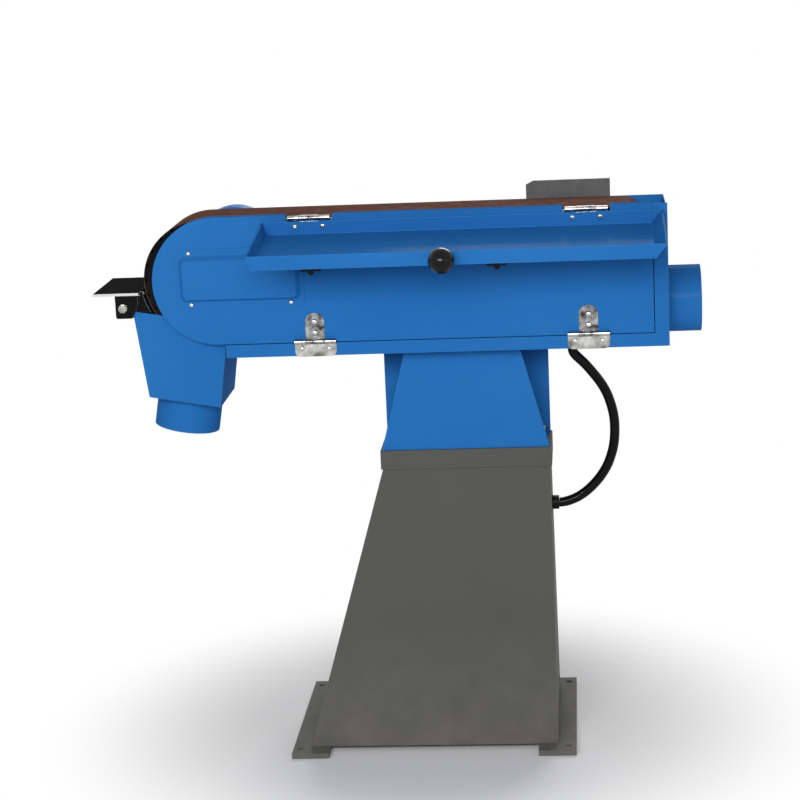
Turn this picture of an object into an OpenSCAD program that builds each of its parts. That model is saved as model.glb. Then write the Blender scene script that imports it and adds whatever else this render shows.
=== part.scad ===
// Belt sanding machine with a contact wheel, a flat platen, a folding lid and a pedestal stand.
// The origin is on the floor at the middle of the four floor bolts, +X along the belt to the
// right, +Y away from the operator and +Z up. The sanding head is drawn from the middle of the
// door's round nose, on the door's front face, and head() carries it to its place.

/* [Stand] */
// Width of the stand at its foot
base_w = 468; // [420:2:520]
// Depth of the stand at its foot
base_d = 330; // [280:2:380]
// Width of the stand at its top
stand_top_w = 307; // [290:1:330]
// Depth of the stand at its top
stand_top_d = 128; // [120:1:150]
// Height of the stand's top above the floor
stand_h = 584; // [520:1:640]
// Sheet thickness of the stand
stand_sheet = 3; // [2:0.5:4]
// Height of the cap on the stand
cap_h = 35; // [28:1:45]
// Width of the floor rails
rail_w = 70; // [60:1:90]
// Distance between the floor bolts from front to back
bolt_span_y = 350; // [300:2:400]
// Diameter of the floor bolt holes
floor_hole_d = 13; // [9:1:17]

/* [Pedestal] */
// Height of the pedestal between the stand and the head
pedestal_h = 191; // [150:1:230]
// Width of the pedestal's front plate at its top
pedestal_top_w = 206; // [180:1:240]
// Thickness of the pedestal's plates
pedestal_t = 6; // [4:1:10]
// Distance from the door's face back to the pedestal's front
pedestal_setback = 50; // [30:1:70]
// Depth of the pedestal over its plates
pedestal_d = 126; // [110:1:140]
// Distance from the door's nose centre to the stand's right side
nose_reach = 587; // [570:1:600]

/* [Head] */
// Radius of the door's round nose, half the door's height
nose_r = 115; // [113:1:122]
// Room from the roller's axis to the door's straight end
end_room = 54; // [50:1:60]
// Thickness of the door and frame sheet
sheet = 2.5; // [1.5:0.5:3]
// Depth of the door's folded edge
door_skirt = 22; // [16:1:22]
// Height of the frame's bottom rim
rim_h = 23.5; // [20:0.5:30]
// Width of the frame's right rim
post_w = 25; // [20:1:32]
// Gap between the door and the frame
door_gap = 1.5; // [1:0.5:2.5]
// Clear depth between the door's face and the back plate
head_d = 191; // [190:1:200]
// Thickness of the back plate
back_t = 5; // [4:1:8]

/* [Belt and wheels] */
// Width of the abrasive belt
belt_w = 150; // [130:1:150]
// Thickness of the abrasive belt
belt_t = 1.2; // [0.8:0.1:1.5]
// Gap from the wheels and the platen to the belt
belt_clear = 0.3; // [0.2:0.1:0.5]
// Radius of the contact wheel over its rubber
wheel_r = 106; // [102:1:110]
// Distance the contact wheel's centre lies left of the nose centre
wheel_out = 27; // [20:1:34]
// Thickness of the rubber tyre
tyre_t = 20; // [15:1:24]
// Number of slots cut across the tyre
tyre_slots = 24; // [16:1:30]
// Depth of the tyre's slots
slot_depth = 8; // [6:0.5:10]
// Width of the tyre's slots
slot_w = 7; // [4:0.5:10]
// Slant of the tyre's slots
slot_slant = 22; // [0:1:30]
// Diameter of the drive shaft
shaft_d = 24; // [20:1:28]
// Radius of the tension roller
roller_r = 48.7; // [44:0.1:52]
// Diameter of the roller's axle
axle_d = 25; // [20:1:28]
// Length of the platen, which sets the length of the whole head
platen_len = 550; // [500:1:580]
// Thickness of the platen
platen_t = 6; // [4:1:8]
// Slack the tension slide can give
slack = 15; // [10:1:15]

/* [Lid] */
// Distance from the nose centre to the lid's left end
lid_x = 89; // [80:1:100]
// Depth of the lid
lid_d = 213; // [205:1:214]
// Height of the lid's flanges
lid_flange = 25; // [20:1:28]
// Sheet thickness of the lid
lid_sheet = 2; // [1.5:0.5:2.5]
// Angle that the open lid has turned through
lid_open = 187.7; // [180:0.1:187.8]
// Diameter of the lid's ball knob
ball_d = 45; // [35:1:50]

/* [Hinges] */
// Radius of the hinge knuckles
knuckle_r = 4.5; // [4:0.1:4.8]
// Diameter of the hinge pins
hinge_pin_d = 5; // [4:0.5:5.5]
// Width of the wide hinge leaves
leaf_w = 75; // [60:1:80]
// Width of the narrow hinge leaves
strap_w = 34; // [26:1:38]
// Thickness of the hinge leaves
leaf_t = 1.5; // [1:0.1:1.5]

/* [Work table] */
// Width of the work table along X
table_w = 84; // [70:1:100]
// Length by which the table's ends reach past its ears
table_over = 0.5; // [0.5:0.5:6]
// Thickness of the work table
table_t = 4.5; // [3:0.5:6]
// Height of the table's top below the wheel's centre
table_drop = 19; // [17.5:0.5:20]
// Gap between the table's edge and the belt
table_gap = 10; // [9:0.5:15]

/* [Dust outlets] */
// Outer diameter of both extraction outlets
outlet_d = 120; // [100:1:124]
// Wall of the extraction outlets
outlet_t = 1.5; // [1:0.5:3]
// Length of the right outlet
end_outlet_l = 60; // [45:1:80]
// Length of the hopper's outlet
hopper_outlet_l = 63; // [45:1:75]
// Slope of the hopper's floor
hopper_slope = 10; // [5:0.5:12]

/* [Hidden] */
$fn = 64;
fit = 0.05;
touch = 0.3;

// Places of the head
nose_x = base_w/2 - nose_reach;
face_y = -base_d/2 - pedestal_setback;
axis_h = stand_h + pedestal_h + nose_r + rim_h + door_gap;
rail_t = 10;
rail_x = base_w/2 - 2;
rail_end = 25;
hole_x = rail_x + rail_w/2 - 15;
cap_seat = 8;
foot_bolt_x = 18;
foot_bolt_y = 24;
frame_z = -nose_r - door_gap - rim_h;
back_y = head_d;
rear_y = head_d + back_t;

// Wheels and belt, in the head's frame
wheel_x = -wheel_out;
wheel_z = 0;
platen_x = 100;
roller_x = platen_x + platen_len + 75;
wheel_span = roller_x - wheel_x;
door_len = roller_x + end_room;
belt_y = 25;
belt_ri = wheel_r + belt_clear;
roller_ri = roller_r + belt_clear;
belt_top = wheel_z + belt_ri;
roller_z = belt_top - roller_ri;
back_top = belt_top - 1.3;
wrap = 2*atan2(belt_ri - roller_ri, wheel_span);

// Lid and hinges
hinge_y = -5;
lid_axis_z = nose_r - 5;
lid_rim = 6;
lid_len = door_len + 19 - lid_x;
lid_left_slope = 7;
lid_right_slope = 20;
door_axis_z = -nose_r + 2;
hinge_off = 5;
lid_hinge_x = [lid_x + 85, lid_x + lid_len - 134];
door_hinge_x = lid_hinge_x + [0.5, -1];
lid_knob_x = lid_x + lid_len/2 - 22.1;
lid_leaf_h = 22;
notch_w = leaf_w + 8;
notch_z = lid_axis_z - knuckle_r - 1;

// Star knobs, their posts and the bare plate
knob_x = [platen_x + 75, platen_x + platen_len - 145];
knob_z = 32;
knob_r = 23;
stud_d = 8;
post_r = 12;
post_y = 13;
plate_t = 1.2;
plate_mid = [44.4, 5.7];
plate_size = [229.5, 107.5];
foot_mid = [44, 6.2];
foot_size = [218, 83];
face_mid = [43.3, 4.5];
face_size = [203, 70];
cover_h = 11.5;
rivet_r = 4.2;
rivet_x = [plate_mid[0] - 90, plate_mid[0] + 90];
rivet_z = [plate_mid[1] - 46.4, plate_mid[1] + 46.2];

// Work table
pivot_x = wheel_x - 147.5;
pivot_z = wheel_z - 46.6;
table_x1 = wheel_x - wheel_r - belt_clear - belt_t - table_gap;
table_z = wheel_z - table_drop;
ear_t = 4;
ear_front = 3.1;
ear_back = 0.5;
arm_t = 6;
arm_left = pivot_x - 13.8;
arm_low = pivot_z - 18.8;
arm_top = pivot_z + 21.5;
horn_rise = 8;
arm_reach = wheel_r + belt_clear + belt_t + 4.5;
arm_foot = 20;
pivot_d = 10;
pivot_head_r = 7.8;
pivot_head_h = 6;
washer_t = 1.5;
play = 0.4;

// Hopper
hop_y0 = door_skirt + 0.6;
hop_sheet = 2;
hop_tl = [-158.5, -53.5];
hop_ridge = [-97, -64];
hop_bl = [-138.6, -213.3];
hop_br = [-8.6, hop_bl[1] - (-8.6 - hop_bl[0])*tan(hopper_slope)];
hop_tr = [8.6, -117.7];
hop_mid = (hop_bl + hop_br)/2;
hop_out_shift = 3;
hop_out = hop_mid + hop_out_shift*[-cos(hopper_slope), sin(hopper_slope)];
hop_yc = (hop_y0 + back_y)/2;
end_out_y = 100;
end_out_z = -72;

// Motor
motor_r = 78;
motor_fins = 28;
motor_l = 190;
motor_flange_t = 12;
fan_l = 50;

// Tension slide behind the back plate
car_y0 = rear_y + 0.5;
car_t = 30;
car_h = 48;
car_x0 = -28;
car_x1 = 44;
rail_gap = 0.3;
rod_r = 8;
lever_x = roller_x - 121;
lever_l = 130;
lever_pin_d = 12;
tracker_x = 32;
tracker_d = 8;

// Fence
fence_y = 214;
fence_t = 4;
fence_x1 = roller_x - 16;
fence_x0 = fence_x1 - 149;
fence_top = 135.5;
fence_z = 99;
fence_foot_x0 = fence_x0 - 56;
fence_foot_x1 = fence_x0 + 28;
fence_bolt_x = [fence_x0 - 40, fence_x0 + 10];

// Switch box on the back of the pedestal
box_w = 80;
box_h = 125;
box_d = 60;
button_r = 11;
box_x = nose_reach - 152;
box_z = -255;
button_dz = 28;

// Cable, as points chosen by eye, measured from the stand's side and the head's floor
cable_d = 18;
cable_path = [[46, 75, -13], [46.5, 75.5, -19], [50, 77, -26], [58, 80, -35], [68, 84, -46],
    [81, 90, -63], [94, 96, -82], [105, 102, -103], [113, 107, -127], [118, 111, -152],
    [119, 114, -178], [117, 115, -202], [112, 115, -223], [103, 115, -246], [88, 115, -269],
    [70, 115, -288], [51, 115, -302], [33, 115, -310], [19, 115, -313], [13, 115, -313]];
cable_route = [for (p = cable_path) p + [nose_reach, 0, frame_z]];
cable_start = cable_route[0];
cable_end = cable_route[len(cable_route) - 1];

blue = [0.17, 0.44, 0.72];
grey = [0.35, 0.35, 0.345];
zinc = [0.75, 0.76, 0.78];
black = [0.08, 0.08, 0.09];
steel = [0.62, 0.63, 0.65];

// Helpers: extrusions along Y and X, cylinders along them, and round-cornered outlines
module head() translate([nose_x, face_y, axis_h]) children();
module along_y(a, b) translate([0, b, 0]) rotate([90, 0, 0]) linear_extrude(b - a) children();
module along_x(a, b) translate([a, 0, 0]) rotate([90, 0, 90]) linear_extrude(b - a) children();
module rod_y(x, z, a, b, r) translate([x, b, z]) rotate([90, 0, 0]) cylinder(h = b - a, r = r);
module rod_x(y, z, a, b, r) translate([a, y, z]) rotate([0, 90, 0]) cylinder(h = b - a, r = r);
module block(lo, hi) translate(lo) cube(hi - lo);
module hex_y(x, z, a, b, r) translate([x, b, z]) rotate([90, 0, 0]) cylinder(h = b - a, r = r, $fn = 6);

module round_rect(w, h, r) {
    square([w - 2*r, h], center = true);
    square([w, h - 2*r], center = true);
    for (sx = [-1, 1], sy = [-1, 1]) translate([sx*(w/2 - r), sy*(h/2 - r)]) circle(r);
}

module nose_outline(inset) {
    circle(nose_r - inset);
    translate([0, -nose_r + inset]) square([door_len - inset, 2*nose_r - 2*inset]);
}

// Stand
module stand_block(inset, z0, z1) {
    slope_x = (base_w - stand_top_w)/(stand_h - cap_h - rail_t);
    slope_y = (base_d - stand_top_d)/(stand_h - cap_h - rail_t);
    right = base_w/2 - inset;
    front = -base_d/2 + inset;
    intersection() {
        along_y(-base_d, base_d) polygon([
            [-base_w/2 + inset + (z0 - rail_t)*slope_x, z0], [right, z0],
            [right, z1], [-base_w/2 + inset + (z1 - rail_t)*slope_x, z1]]);
        along_x(-base_w, base_w) polygon([
            [front, z0], [base_d/2 - inset - (z0 - rail_t)*slope_y, z0],
            [base_d/2 - inset - (z1 - rail_t)*slope_y, z1], [front, z1]]);
    }
}

module stand_column() color(grey) difference() {
    stand_block(0, rail_t, stand_h - cap_h + cap_seat);
    stand_block(stand_sheet, rail_t - 1, stand_h - cap_h + cap_seat - stand_sheet);
    translate([0, face_y, axis_h])
        rod_x(cable_end[1], cable_end[2], base_w/2 - 10, base_w/2 + 10, cable_d/2 + 1);
}

// The cap closes the column like a shallow box turned over
module stand_cap() color(grey) {
    grow = stand_sheet + touch;
    x1 = base_w/2 + grow;
    x0 = x1 - stand_top_w - 2*grow;
    y0 = -base_d/2 - grow;
    y1 = y0 + stand_top_d + 2*grow;
    rim = stand_sheet + 9;
    difference() {
        block([x0, y0, stand_h - cap_h], [x1, y1, stand_h]);
        block([x0 + stand_sheet, y0 + stand_sheet, stand_h - cap_h - 1],
              [x1 - stand_sheet, y1 - stand_sheet, stand_h - cap_h + cap_seat]);
        block([x0 + rim, y0 + rim, stand_h - cap_h - 1], [x1 - rim, y1 - rim, stand_h - stand_sheet]);
    }
}

module foot_rails() color(grey) for (side = [-1, 1]) difference() {
    translate([side*rail_x, 0, rail_t/2])
        cube([rail_w, bolt_span_y + 2*rail_end, rail_t], center = true);
    for (end = [-1, 1]) translate([side*hole_x, end*bolt_span_y/2, -1])
        cylinder(h = rail_t + 2, d = floor_hole_d);
}

// Pedestal, drawn from the middle of its plates on the stand's top
ped_x = base_w/2 - stand_top_w/2;
ped_y = -base_d/2;
ped_top = stand_h + pedestal_h;

module pedestal_front() color(blue)
    along_y(ped_y, ped_y + pedestal_t) polygon([
        [ped_x - stand_top_w/2, stand_h], [ped_x + stand_top_w/2, stand_h],
        [ped_x + pedestal_top_w/2, ped_top], [ped_x - pedestal_top_w/2, ped_top]]);

module pedestal_rear() color(blue)
    block([ped_x - stand_top_w/2, ped_y + pedestal_d - pedestal_t, stand_h],
          [ped_x + stand_top_w/2, ped_y + pedestal_d, ped_top]);

module pedestal_webs() color(blue) for (side = [-1, 1])
    translate([ped_x + side*(pedestal_top_w/2 - 12), 0, 0])
        block([-pedestal_t/2, ped_y + pedestal_t, stand_h + 8],
              [pedestal_t/2, ped_y + pedestal_d - pedestal_t, ped_top]);

module pedestal_foot() color(blue) difference() {
    block([ped_x - stand_top_w/2 + 4, ped_y + pedestal_t, stand_h],
          [ped_x + stand_top_w/2 - 4, ped_y + pedestal_d - pedestal_t, stand_h + 8]);
    for (side = [-1, 1], y = [foot_bolt_y, pedestal_d - foot_bolt_y])
        translate([ped_x + side*(stand_top_w/2 - foot_bolt_x), ped_y + y, stand_h - 1])
            cylinder(h = 10, d = 11);
}

module pedestal_bolts() color(zinc) for (side = [-1, 1], y = [foot_bolt_y, pedestal_d - foot_bolt_y])
    translate([ped_x + side*(stand_top_w/2 - foot_bolt_x), ped_y + y, stand_h]) {
        translate([0, 0, 0.5]) cylinder(h = 8, d = 10);
        translate([0, 0, 8]) cylinder(h = 2, r = 10);
        translate([0, 0, 10]) cylinder(h = 7, r = 9, $fn = 6);
    }

// Frame of the head
module back_plate() color(blue) head() difference() {
    along_y(back_y, rear_y) {
        circle(back_top - 1);
        translate([wheel_x, wheel_z]) circle(wheel_r - 2);
        translate([0, frame_z + sheet])
            square([door_len + door_gap + post_w - sheet, back_top - frame_z - sheet]);
    }
    rod_y(wheel_x, wheel_z, back_y - 1, rear_y + 1, shaft_d/2 + 14);
    for (x = [roller_x - slack, roller_x]) rod_y(x, roller_z, back_y - 1, rear_y + 1, axle_d/2 + 1.5);
    block([roller_x - slack, back_y - 1, roller_z - axle_d/2 - 1.5],
          [roller_x, rear_y + 1, roller_z + axle_d/2 + 1.5]);
}

module floor_channel() color(blue) head() difference() {
    x0 = 11.6;
    x1 = door_len + door_gap + post_w - sheet;
    union() {
        block([x0, 0, frame_z], [x1, sheet, frame_z + rim_h]);
        block([x0, sheet, frame_z], [x1, rear_y, frame_z + sheet]);
        block([x0, sheet, frame_z], [x0 + sheet, back_y, frame_z + rim_h]);
    }
    translate([cable_start[0], cable_start[1], frame_z - 1]) cylinder(h = sheet + 2, d = cable_d + 3);
}

module end_channel() color(blue) head() difference() {
    x1 = door_len + door_gap + post_w;
    union() {
        block([door_len + door_gap, 0, frame_z + rim_h], [x1, sheet, nose_r]);
        block([x1 - sheet, 0, frame_z], [x1, rear_y, back_top]);
    }
    rod_x(end_out_y, end_out_z, x1 - sheet - 1, x1 + 1, outlet_d/2 - outlet_t);
}

// A folded sheet hopper under the contact wheel, open above for the sparks
module hopper_profile(g)
    polygon([hop_tl + [g*1.1, g], hop_bl + [g, g], hop_br + [-g, g], hop_tr + [-g, g],
        hop_ridge + [0, g]]);

module hopper() color(blue) head() difference() {
    along_y(hop_y0, back_y) hopper_profile(0);
    along_y(hop_y0 + hop_sheet, back_y - hop_sheet) hopper_profile(hop_sheet);
    translate([hop_out[0], hop_yc, hop_out[1]]) rotate([0, hopper_slope, 0])
        translate([0, 0, -20]) cylinder(h = 40, r = outlet_d/2 - outlet_t);
}

module hopper_outlet() color(blue) head()
    translate([hop_out[0], hop_yc, hop_out[1]]) rotate([0, hopper_slope, 0]) difference() {
        union() {
            translate([0, 0, -hopper_outlet_l]) cylinder(h = hopper_outlet_l, d = outlet_d);
            translate([0, 0, -2.5]) cylinder(h = 2.5, r = outlet_d/2 + 1.5);
        }
        translate([0, 0, -hopper_outlet_l - 1])
            cylinder(h = hopper_outlet_l + 2, r = outlet_d/2 - outlet_t);
    }

module end_outlet() color(blue) head() {
    x0 = door_len + door_gap + post_w;
    difference() {
        union() {
            rod_x(end_out_y, end_out_z, x0, x0 + end_outlet_l, outlet_d/2);
            rod_x(end_out_y, end_out_z, x0, x0 + 3, outlet_d/2 + 2);
        }
        rod_x(end_out_y, end_out_z, x0 - 1, x0 + end_outlet_l + 1, outlet_d/2 - outlet_t);
    }
}

// Platen that backs the belt's upper run
platen_top = belt_top - belt_clear;
bracket_x = [platen_x + 130, platen_x + platen_len - 90];

module platen() color(steel) head()
    along_y(belt_y - 1, belt_y + belt_w + 1) polygon([
        [platen_x, platen_top - 3], [platen_x + 4, platen_top], [platen_x + platen_len - 4, platen_top],
        [platen_x + platen_len, platen_top - 3], [platen_x + platen_len, platen_top - platen_t],
        [platen_x, platen_top - platen_t]]);

module platen_brackets() color(steel) head() for (x = bracket_x)
    along_x(x, x + 6) polygon([
        [back_y, -20], [back_y, platen_top - platen_t], [belt_y + 6, platen_top - platen_t],
        [belt_y + 6, platen_top - platen_t - 12]]);

module door_posts() color(steel) head() for (x = knob_x) difference() {
    rod_y(x, knob_z, post_y, back_y, post_r);
    rod_y(x, knob_z, post_y - 1, post_y + 12, stud_d/2 + 3);
}

// Bent fence plate behind the belt's upper run, with a foot on the back plate
module fence_plate() color(steel) head() difference() {
    union() {
        along_y(fence_y, fence_y + fence_t) polygon([
            [fence_x0 - 6, fence_z], [fence_x1, fence_z], [fence_x1, fence_top],
            [fence_x0 + 8, fence_top], [fence_x0 - 6, fence_top - 7]]);
        block([fence_x0 - 6, rear_y, fence_z], [fence_foot_x1, fence_y, fence_z + fence_t]);
        block([fence_foot_x0, rear_y, fence_z - 26], [fence_foot_x1, rear_y + fence_t, fence_z + fence_t]);
    }
    for (x = fence_bolt_x) rod_y(x, fence_z - 13, rear_y - 1, rear_y + fence_t + 1, 4.3);
}

module fence_bolts() color(zinc) head() for (x = fence_bolt_x) {
    rod_y(x, fence_z - 13, rear_y + touch, rear_y + fence_t, 4);
    hex_y(x, fence_z - 13, rear_y + fence_t, rear_y + fence_t + 5.5, 7.5);
}

// T hinges: a wide leaf with two outer knuckles and a narrow leaf with the middle one.
// Both are drawn with the pin on the X axis and the face that they lie on at y = face.
module leaf_plate(w, h, r, face) {
    along_y(face - leaf_t, face) {
        translate([-w/2, -h + r]) square([w, h - r]);
        translate([-w/2 + r, -h]) square([w - 2*r, h]);
        for (s = [-1, 1]) translate([s*(w/2 - r), -h + r]) circle(r);
    }
}

module wide_leaf(h, face, r) difference() {
    union() {
        leaf_plate(leaf_w, h, r, face);
        for (s = [-1, 1]) translate([s*(leaf_w/2 + strap_w/2 + 0.4)/2, 0, 0]) rotate([0, 90, 0])
            cylinder(h = (leaf_w - strap_w)/2 - 0.4, r = knuckle_r, center = true);
    }
    rotate([0, 90, 0]) cylinder(h = leaf_w + 2, d = hinge_pin_d + 2*fit, center = true);
    block([-strap_w/2 - 0.4, -knuckle_r - 1, -knuckle_r - 1.2], [strap_w/2 + 0.4, face + 1, knuckle_r + 1]);
}

module middle_knuckle() rotate([0, 90, 0]) cylinder(h = strap_w, r = knuckle_r, center = true);
module pin_bore() rotate([0, 90, 0]) cylinder(h = leaf_w + 2, d = hinge_pin_d + 2*fit, center = true);
module hinge_pin() rotate([0, 90, 0]) cylinder(h = leaf_w, d = hinge_pin_d, center = true);

module door_hinge_leaves() color(zinc) head() for (x = door_hinge_x)
    translate([x, hinge_y, door_axis_z]) wide_leaf(28, hinge_off, 10);

module door_hinge_pins() color(zinc) head() for (x = door_hinge_x)
    translate([x, hinge_y, door_axis_z]) hinge_pin();

module door_hinge_straps() color(zinc) head() for (x = door_hinge_x)
    translate([x, hinge_y, door_axis_z]) difference() {
        union() {
            mirror([0, 0, 1]) leaf_plate(strap_w, 51, strap_w/2 - 1, hinge_off);
            middle_knuckle();
        }
        pin_bore();
    }

// The lid's narrow leaves pass over the notched edge and lie on the inside of the door
module lid_hinge_straps() color(zinc) head() for (x = lid_hinge_x)
    translate([x, hinge_y, lid_axis_z]) difference() {
        union() {
            middle_knuckle();
            block([-strap_w/2, 0, knuckle_r - leaf_t], [strap_w/2, hinge_off + sheet + leaf_t, knuckle_r]);
            block([-strap_w/2, hinge_off + sheet, -34],
                  [strap_w/2, hinge_off + sheet + leaf_t, knuckle_r]);
        }
        pin_bore();
    }

// Lid, drawn closed from its hinge line and then turned open
module lid_frame() head() translate([0, hinge_y, lid_axis_z]) rotate([lid_open, 0, 0]) children();

module lid_profile(g)
    polygon([[lid_x + 1.1*g, lid_rim - (g > 0 ? 1 : 0)],
        [lid_x + lid_len - 1.3*g, lid_rim - (g > 0 ? 1 : 0)],
        [lid_x + lid_len - lid_right_slope - 0.6*g, lid_rim + lid_flange - g],
        [lid_x + lid_left_slope + 0.9*g, lid_rim + lid_flange - g]]);

module lid_tray() color(blue) lid_frame() difference() {
    along_y(0, lid_d) lid_profile(0);
    along_y(lid_sheet, lid_d - lid_sheet) lid_profile(lid_sheet);
}

module lid_hinge_leaves() color(zinc) lid_frame() for (x = lid_hinge_x)
    translate([x, 0, 0]) mirror([0, 0, 1]) wide_leaf(lid_leaf_h, 0, 7);

module lid_hinge_pins() color(zinc) lid_frame() for (x = lid_hinge_x)
    translate([x, 0, 0]) hinge_pin();

module lid_knob() color(black) lid_frame() translate([lid_knob_x, lid_d, 16]) {
    rotate([-90, 0, 0]) cylinder(h = 8, r1 = 10, r2 = 8);
    translate([0, 25, 0]) sphere(d = ball_d);
}

// Door
module door_panel() color(blue) head() difference() {
    union() {
        along_y(0, sheet) nose_outline(0);
        along_y(sheet, door_skirt) difference() {
            nose_outline(0);
            nose_outline(sheet);
        }
    }
    for (x = lid_hinge_x)
        block([x - notch_w/2, -1, notch_z], [x + notch_w/2, door_skirt + 1, nose_r + 1]);
    for (x = knob_x) rod_y(x, knob_z, -1, sheet + 1, stud_d/2 + fit);
}

// A pressed cover: a thin flange with a raised box, hollow behind, held by four rivets
module cover_box(g)
    intersection() {
        along_x(-nose_r, door_len) polygon([
            [g, foot_mid[1] - foot_size[1]/2 + g], [-plate_t, foot_mid[1] - foot_size[1]/2 + g],
            [g - cover_h, face_mid[1] - face_size[1]/2 + g],
            [g - cover_h, face_mid[1] + face_size[1]/2 - g],
            [-plate_t, foot_mid[1] + foot_size[1]/2 - g], [g, foot_mid[1] + foot_size[1]/2 - g]]);
        translate([0, 0, -nose_r]) linear_extrude(2*nose_r) polygon([
            [foot_mid[0] - foot_size[0]/2 + g, g], [foot_mid[0] - foot_size[0]/2 + g, -plate_t],
            [face_mid[0] - face_size[0]/2 + g, g - cover_h],
            [face_mid[0] + face_size[0]/2 - g, g - cover_h],
            [foot_mid[0] + foot_size[0]/2 - g, -plate_t], [foot_mid[0] + foot_size[0]/2 - g, g]]);
    }

module door_plate() color(blue) head() difference() {
    union() {
        translate([plate_mid[0], 0, plate_mid[1]])
            along_y(-plate_t, 0) round_rect(plate_size[0], plate_size[1], 12);
        cover_box(0);
    }
    cover_box(plate_t);
}

module door_rivets() color(zinc) head() for (x = rivet_x, z = rivet_z)
    translate([x, -plate_t, z]) rotate([90, 0, 0]) {
        cylinder(h = 1.2, r = rivet_r);
        translate([0, 0, 1.2]) cylinder(h = 1, r1 = rivet_r, r2 = rivet_r*0.6);
    }

// Star grip with seven lobes on a stud
module star_knob(x) color(black) head() {
    for (i = [0:6])
        rod_y(x + (knob_r - 6)*cos(i*360/7 + 12), knob_z + (knob_r - 6)*sin(i*360/7 + 12), -26, -12, 6);
    rod_y(x, knob_z, -27, -11, knob_r - 7);
    rod_y(x, knob_z, -11, -0.3, 11);
    rod_y(x, knob_z, -0.3, post_y + 4, stud_d/2);
}

module star_knob_left() star_knob(knob_x[0]);
module star_knob_right() star_knob(knob_x[1]);

// Work table with two ears that swing on the bolts of the fixed arms
ear_y = [hop_y0 - ear_front - ear_t, back_y + ear_back];
arm_y = [ear_y[0] + ear_t + play, ear_y[1] - play - arm_t];
table_y0 = ear_y[0] - table_over;
table_y1 = ear_y[1] + ear_t + table_over;

module ear_outline() {
    polygon([[arm_left, table_z - table_t + 1], [arm_left, arm_low + 4], [arm_left + 4, arm_low],
        [pivot_x + 15.5, arm_low], [table_x1 - 2, pivot_z + 6], [table_x1 - 2, table_z - table_t + 1]]);
    translate([arm_left + 4, arm_low + 4]) circle(4);
}

module work_table() color(black) head() difference() {
    union() {
        block([table_x1 - table_w, table_y0, table_z - table_t], [table_x1, table_y1, table_z]);
        for (y = ear_y) along_y(y, y + ear_t) ear_outline();
    }
    rod_y(pivot_x, pivot_z, table_y0 - 1, table_y1 + 1, pivot_d/2 + fit);
}

// The hopper's left wall as a line, so the arms lie flat on it
function wall_x(z) = hop_tl[0] + (hop_tl[1] - z)*(hop_bl[0] - hop_tl[0])/(hop_tl[1] - hop_bl[1]);

// The arm's outline passes over the hopper's edge and ends in a horn that follows the belt
module arm_outline() difference() {
    union() {
        polygon([[arm_left, arm_top - 3.5], [table_x1 - 2, arm_top], [table_x1 + 1, arm_top],
            [table_x1 + 2, arm_top + horn_rise], [wheel_x - wheel_r, arm_top + horn_rise],
            [wheel_x - wheel_r + 20, hop_tl[1] - 3],
            [hop_tl[0] + 1, hop_tl[1] + 1], hop_tl, [wall_x(arm_low), arm_low], [arm_left + 4, arm_low],
            [arm_left, arm_low + 4]]);
        translate([arm_left + 4, arm_low + 4]) circle(4);
    }
    translate([wheel_x, wheel_z]) circle(arm_reach);
}

module table_arm(y, foot_y) color(black) head() difference() {
    union() {
        along_y(y, y + arm_t) arm_outline();
        along_y(min(y, foot_y), max(y, foot_y) + arm_t) polygon([hop_tl, [wall_x(arm_low), arm_low],
            [wall_x(arm_low) - 3, arm_low], hop_tl - [3, 0]]);
    }
    rod_y(pivot_x, pivot_z, y - 1, y + arm_t + 1, pivot_d/2 + fit);
}

module table_arm_front() table_arm(arm_y[0], arm_y[0] + arm_foot);
module table_arm_rear() table_arm(arm_y[1], arm_y[1] - arm_foot);

// A pivot bolt along Y from its head at y: the ear turns under the washer, and the nut is tight
// on the arm
module pivot_bolt() {
    grip = play/2 + ear_t + play + arm_t;
    rod_y(0, 0, -washer_t, grip + pivot_head_h, pivot_d/2);
    rod_y(0, 0, -washer_t, 0, pivot_head_r);
    hex_y(0, 0, -washer_t - pivot_head_h, -washer_t, pivot_head_r);
    hex_y(0, 0, grip, grip + pivot_head_h, pivot_head_r);
}

module table_bolts() color(zinc) head() {
    translate([pivot_x, ear_y[0] - play/2, pivot_z]) pivot_bolt();
    translate([pivot_x, ear_y[1] + ear_t + play/2, pivot_z]) mirror([0, 1, 0]) pivot_bolt();
}

// Abrasive belt round the wheel and the roller: two arcs, and two straight runs, a hair thinner,
// that end inside them
wheel_c = [wheel_x, wheel_z];
roller_c = [roller_x, roller_z];
low_n = [sin(wrap), -cos(wrap)];
low_u = [cos(wrap), sin(wrap)];

module belt_piece() along_y(belt_y, belt_y + belt_w) children();

module belt_arc(c, r, side) belt_piece() intersection() {
    translate(c) difference() {
        circle(r + belt_t);
        circle(r);
    }
    polygon([c, c + [0, 2*r], c + [side*2*r, 2*r], c + [side*2*r, -2*r] + side*2*r*low_u, c + 2*r*low_n]);
}

module abrasive_belt() color([0.42, 0.27, 0.18]) head() {
    reach = 2;
    skim = 0.1;
    belt_arc(wheel_c, belt_ri, -1);
    belt_arc(roller_c, roller_ri, 1);
    belt_piece() translate([wheel_x - reach, belt_top + skim])
        square([wheel_span + 2*reach, belt_t - 2*skim]);
    belt_piece() polygon([
        wheel_c + (belt_ri + skim)*low_n - reach*low_u, roller_c + (roller_ri + skim)*low_n + reach*low_u,
        roller_c + (roller_ri + belt_t - skim)*low_n + reach*low_u,
        wheel_c + (belt_ri + belt_t - skim)*low_n - reach*low_u]);
}

// Contact wheel on the motor's shaft
module drive_shaft() color(steel) head()
    rod_y(wheel_x, wheel_z, belt_y + 15, rear_y + 90, shaft_d/2);

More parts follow.
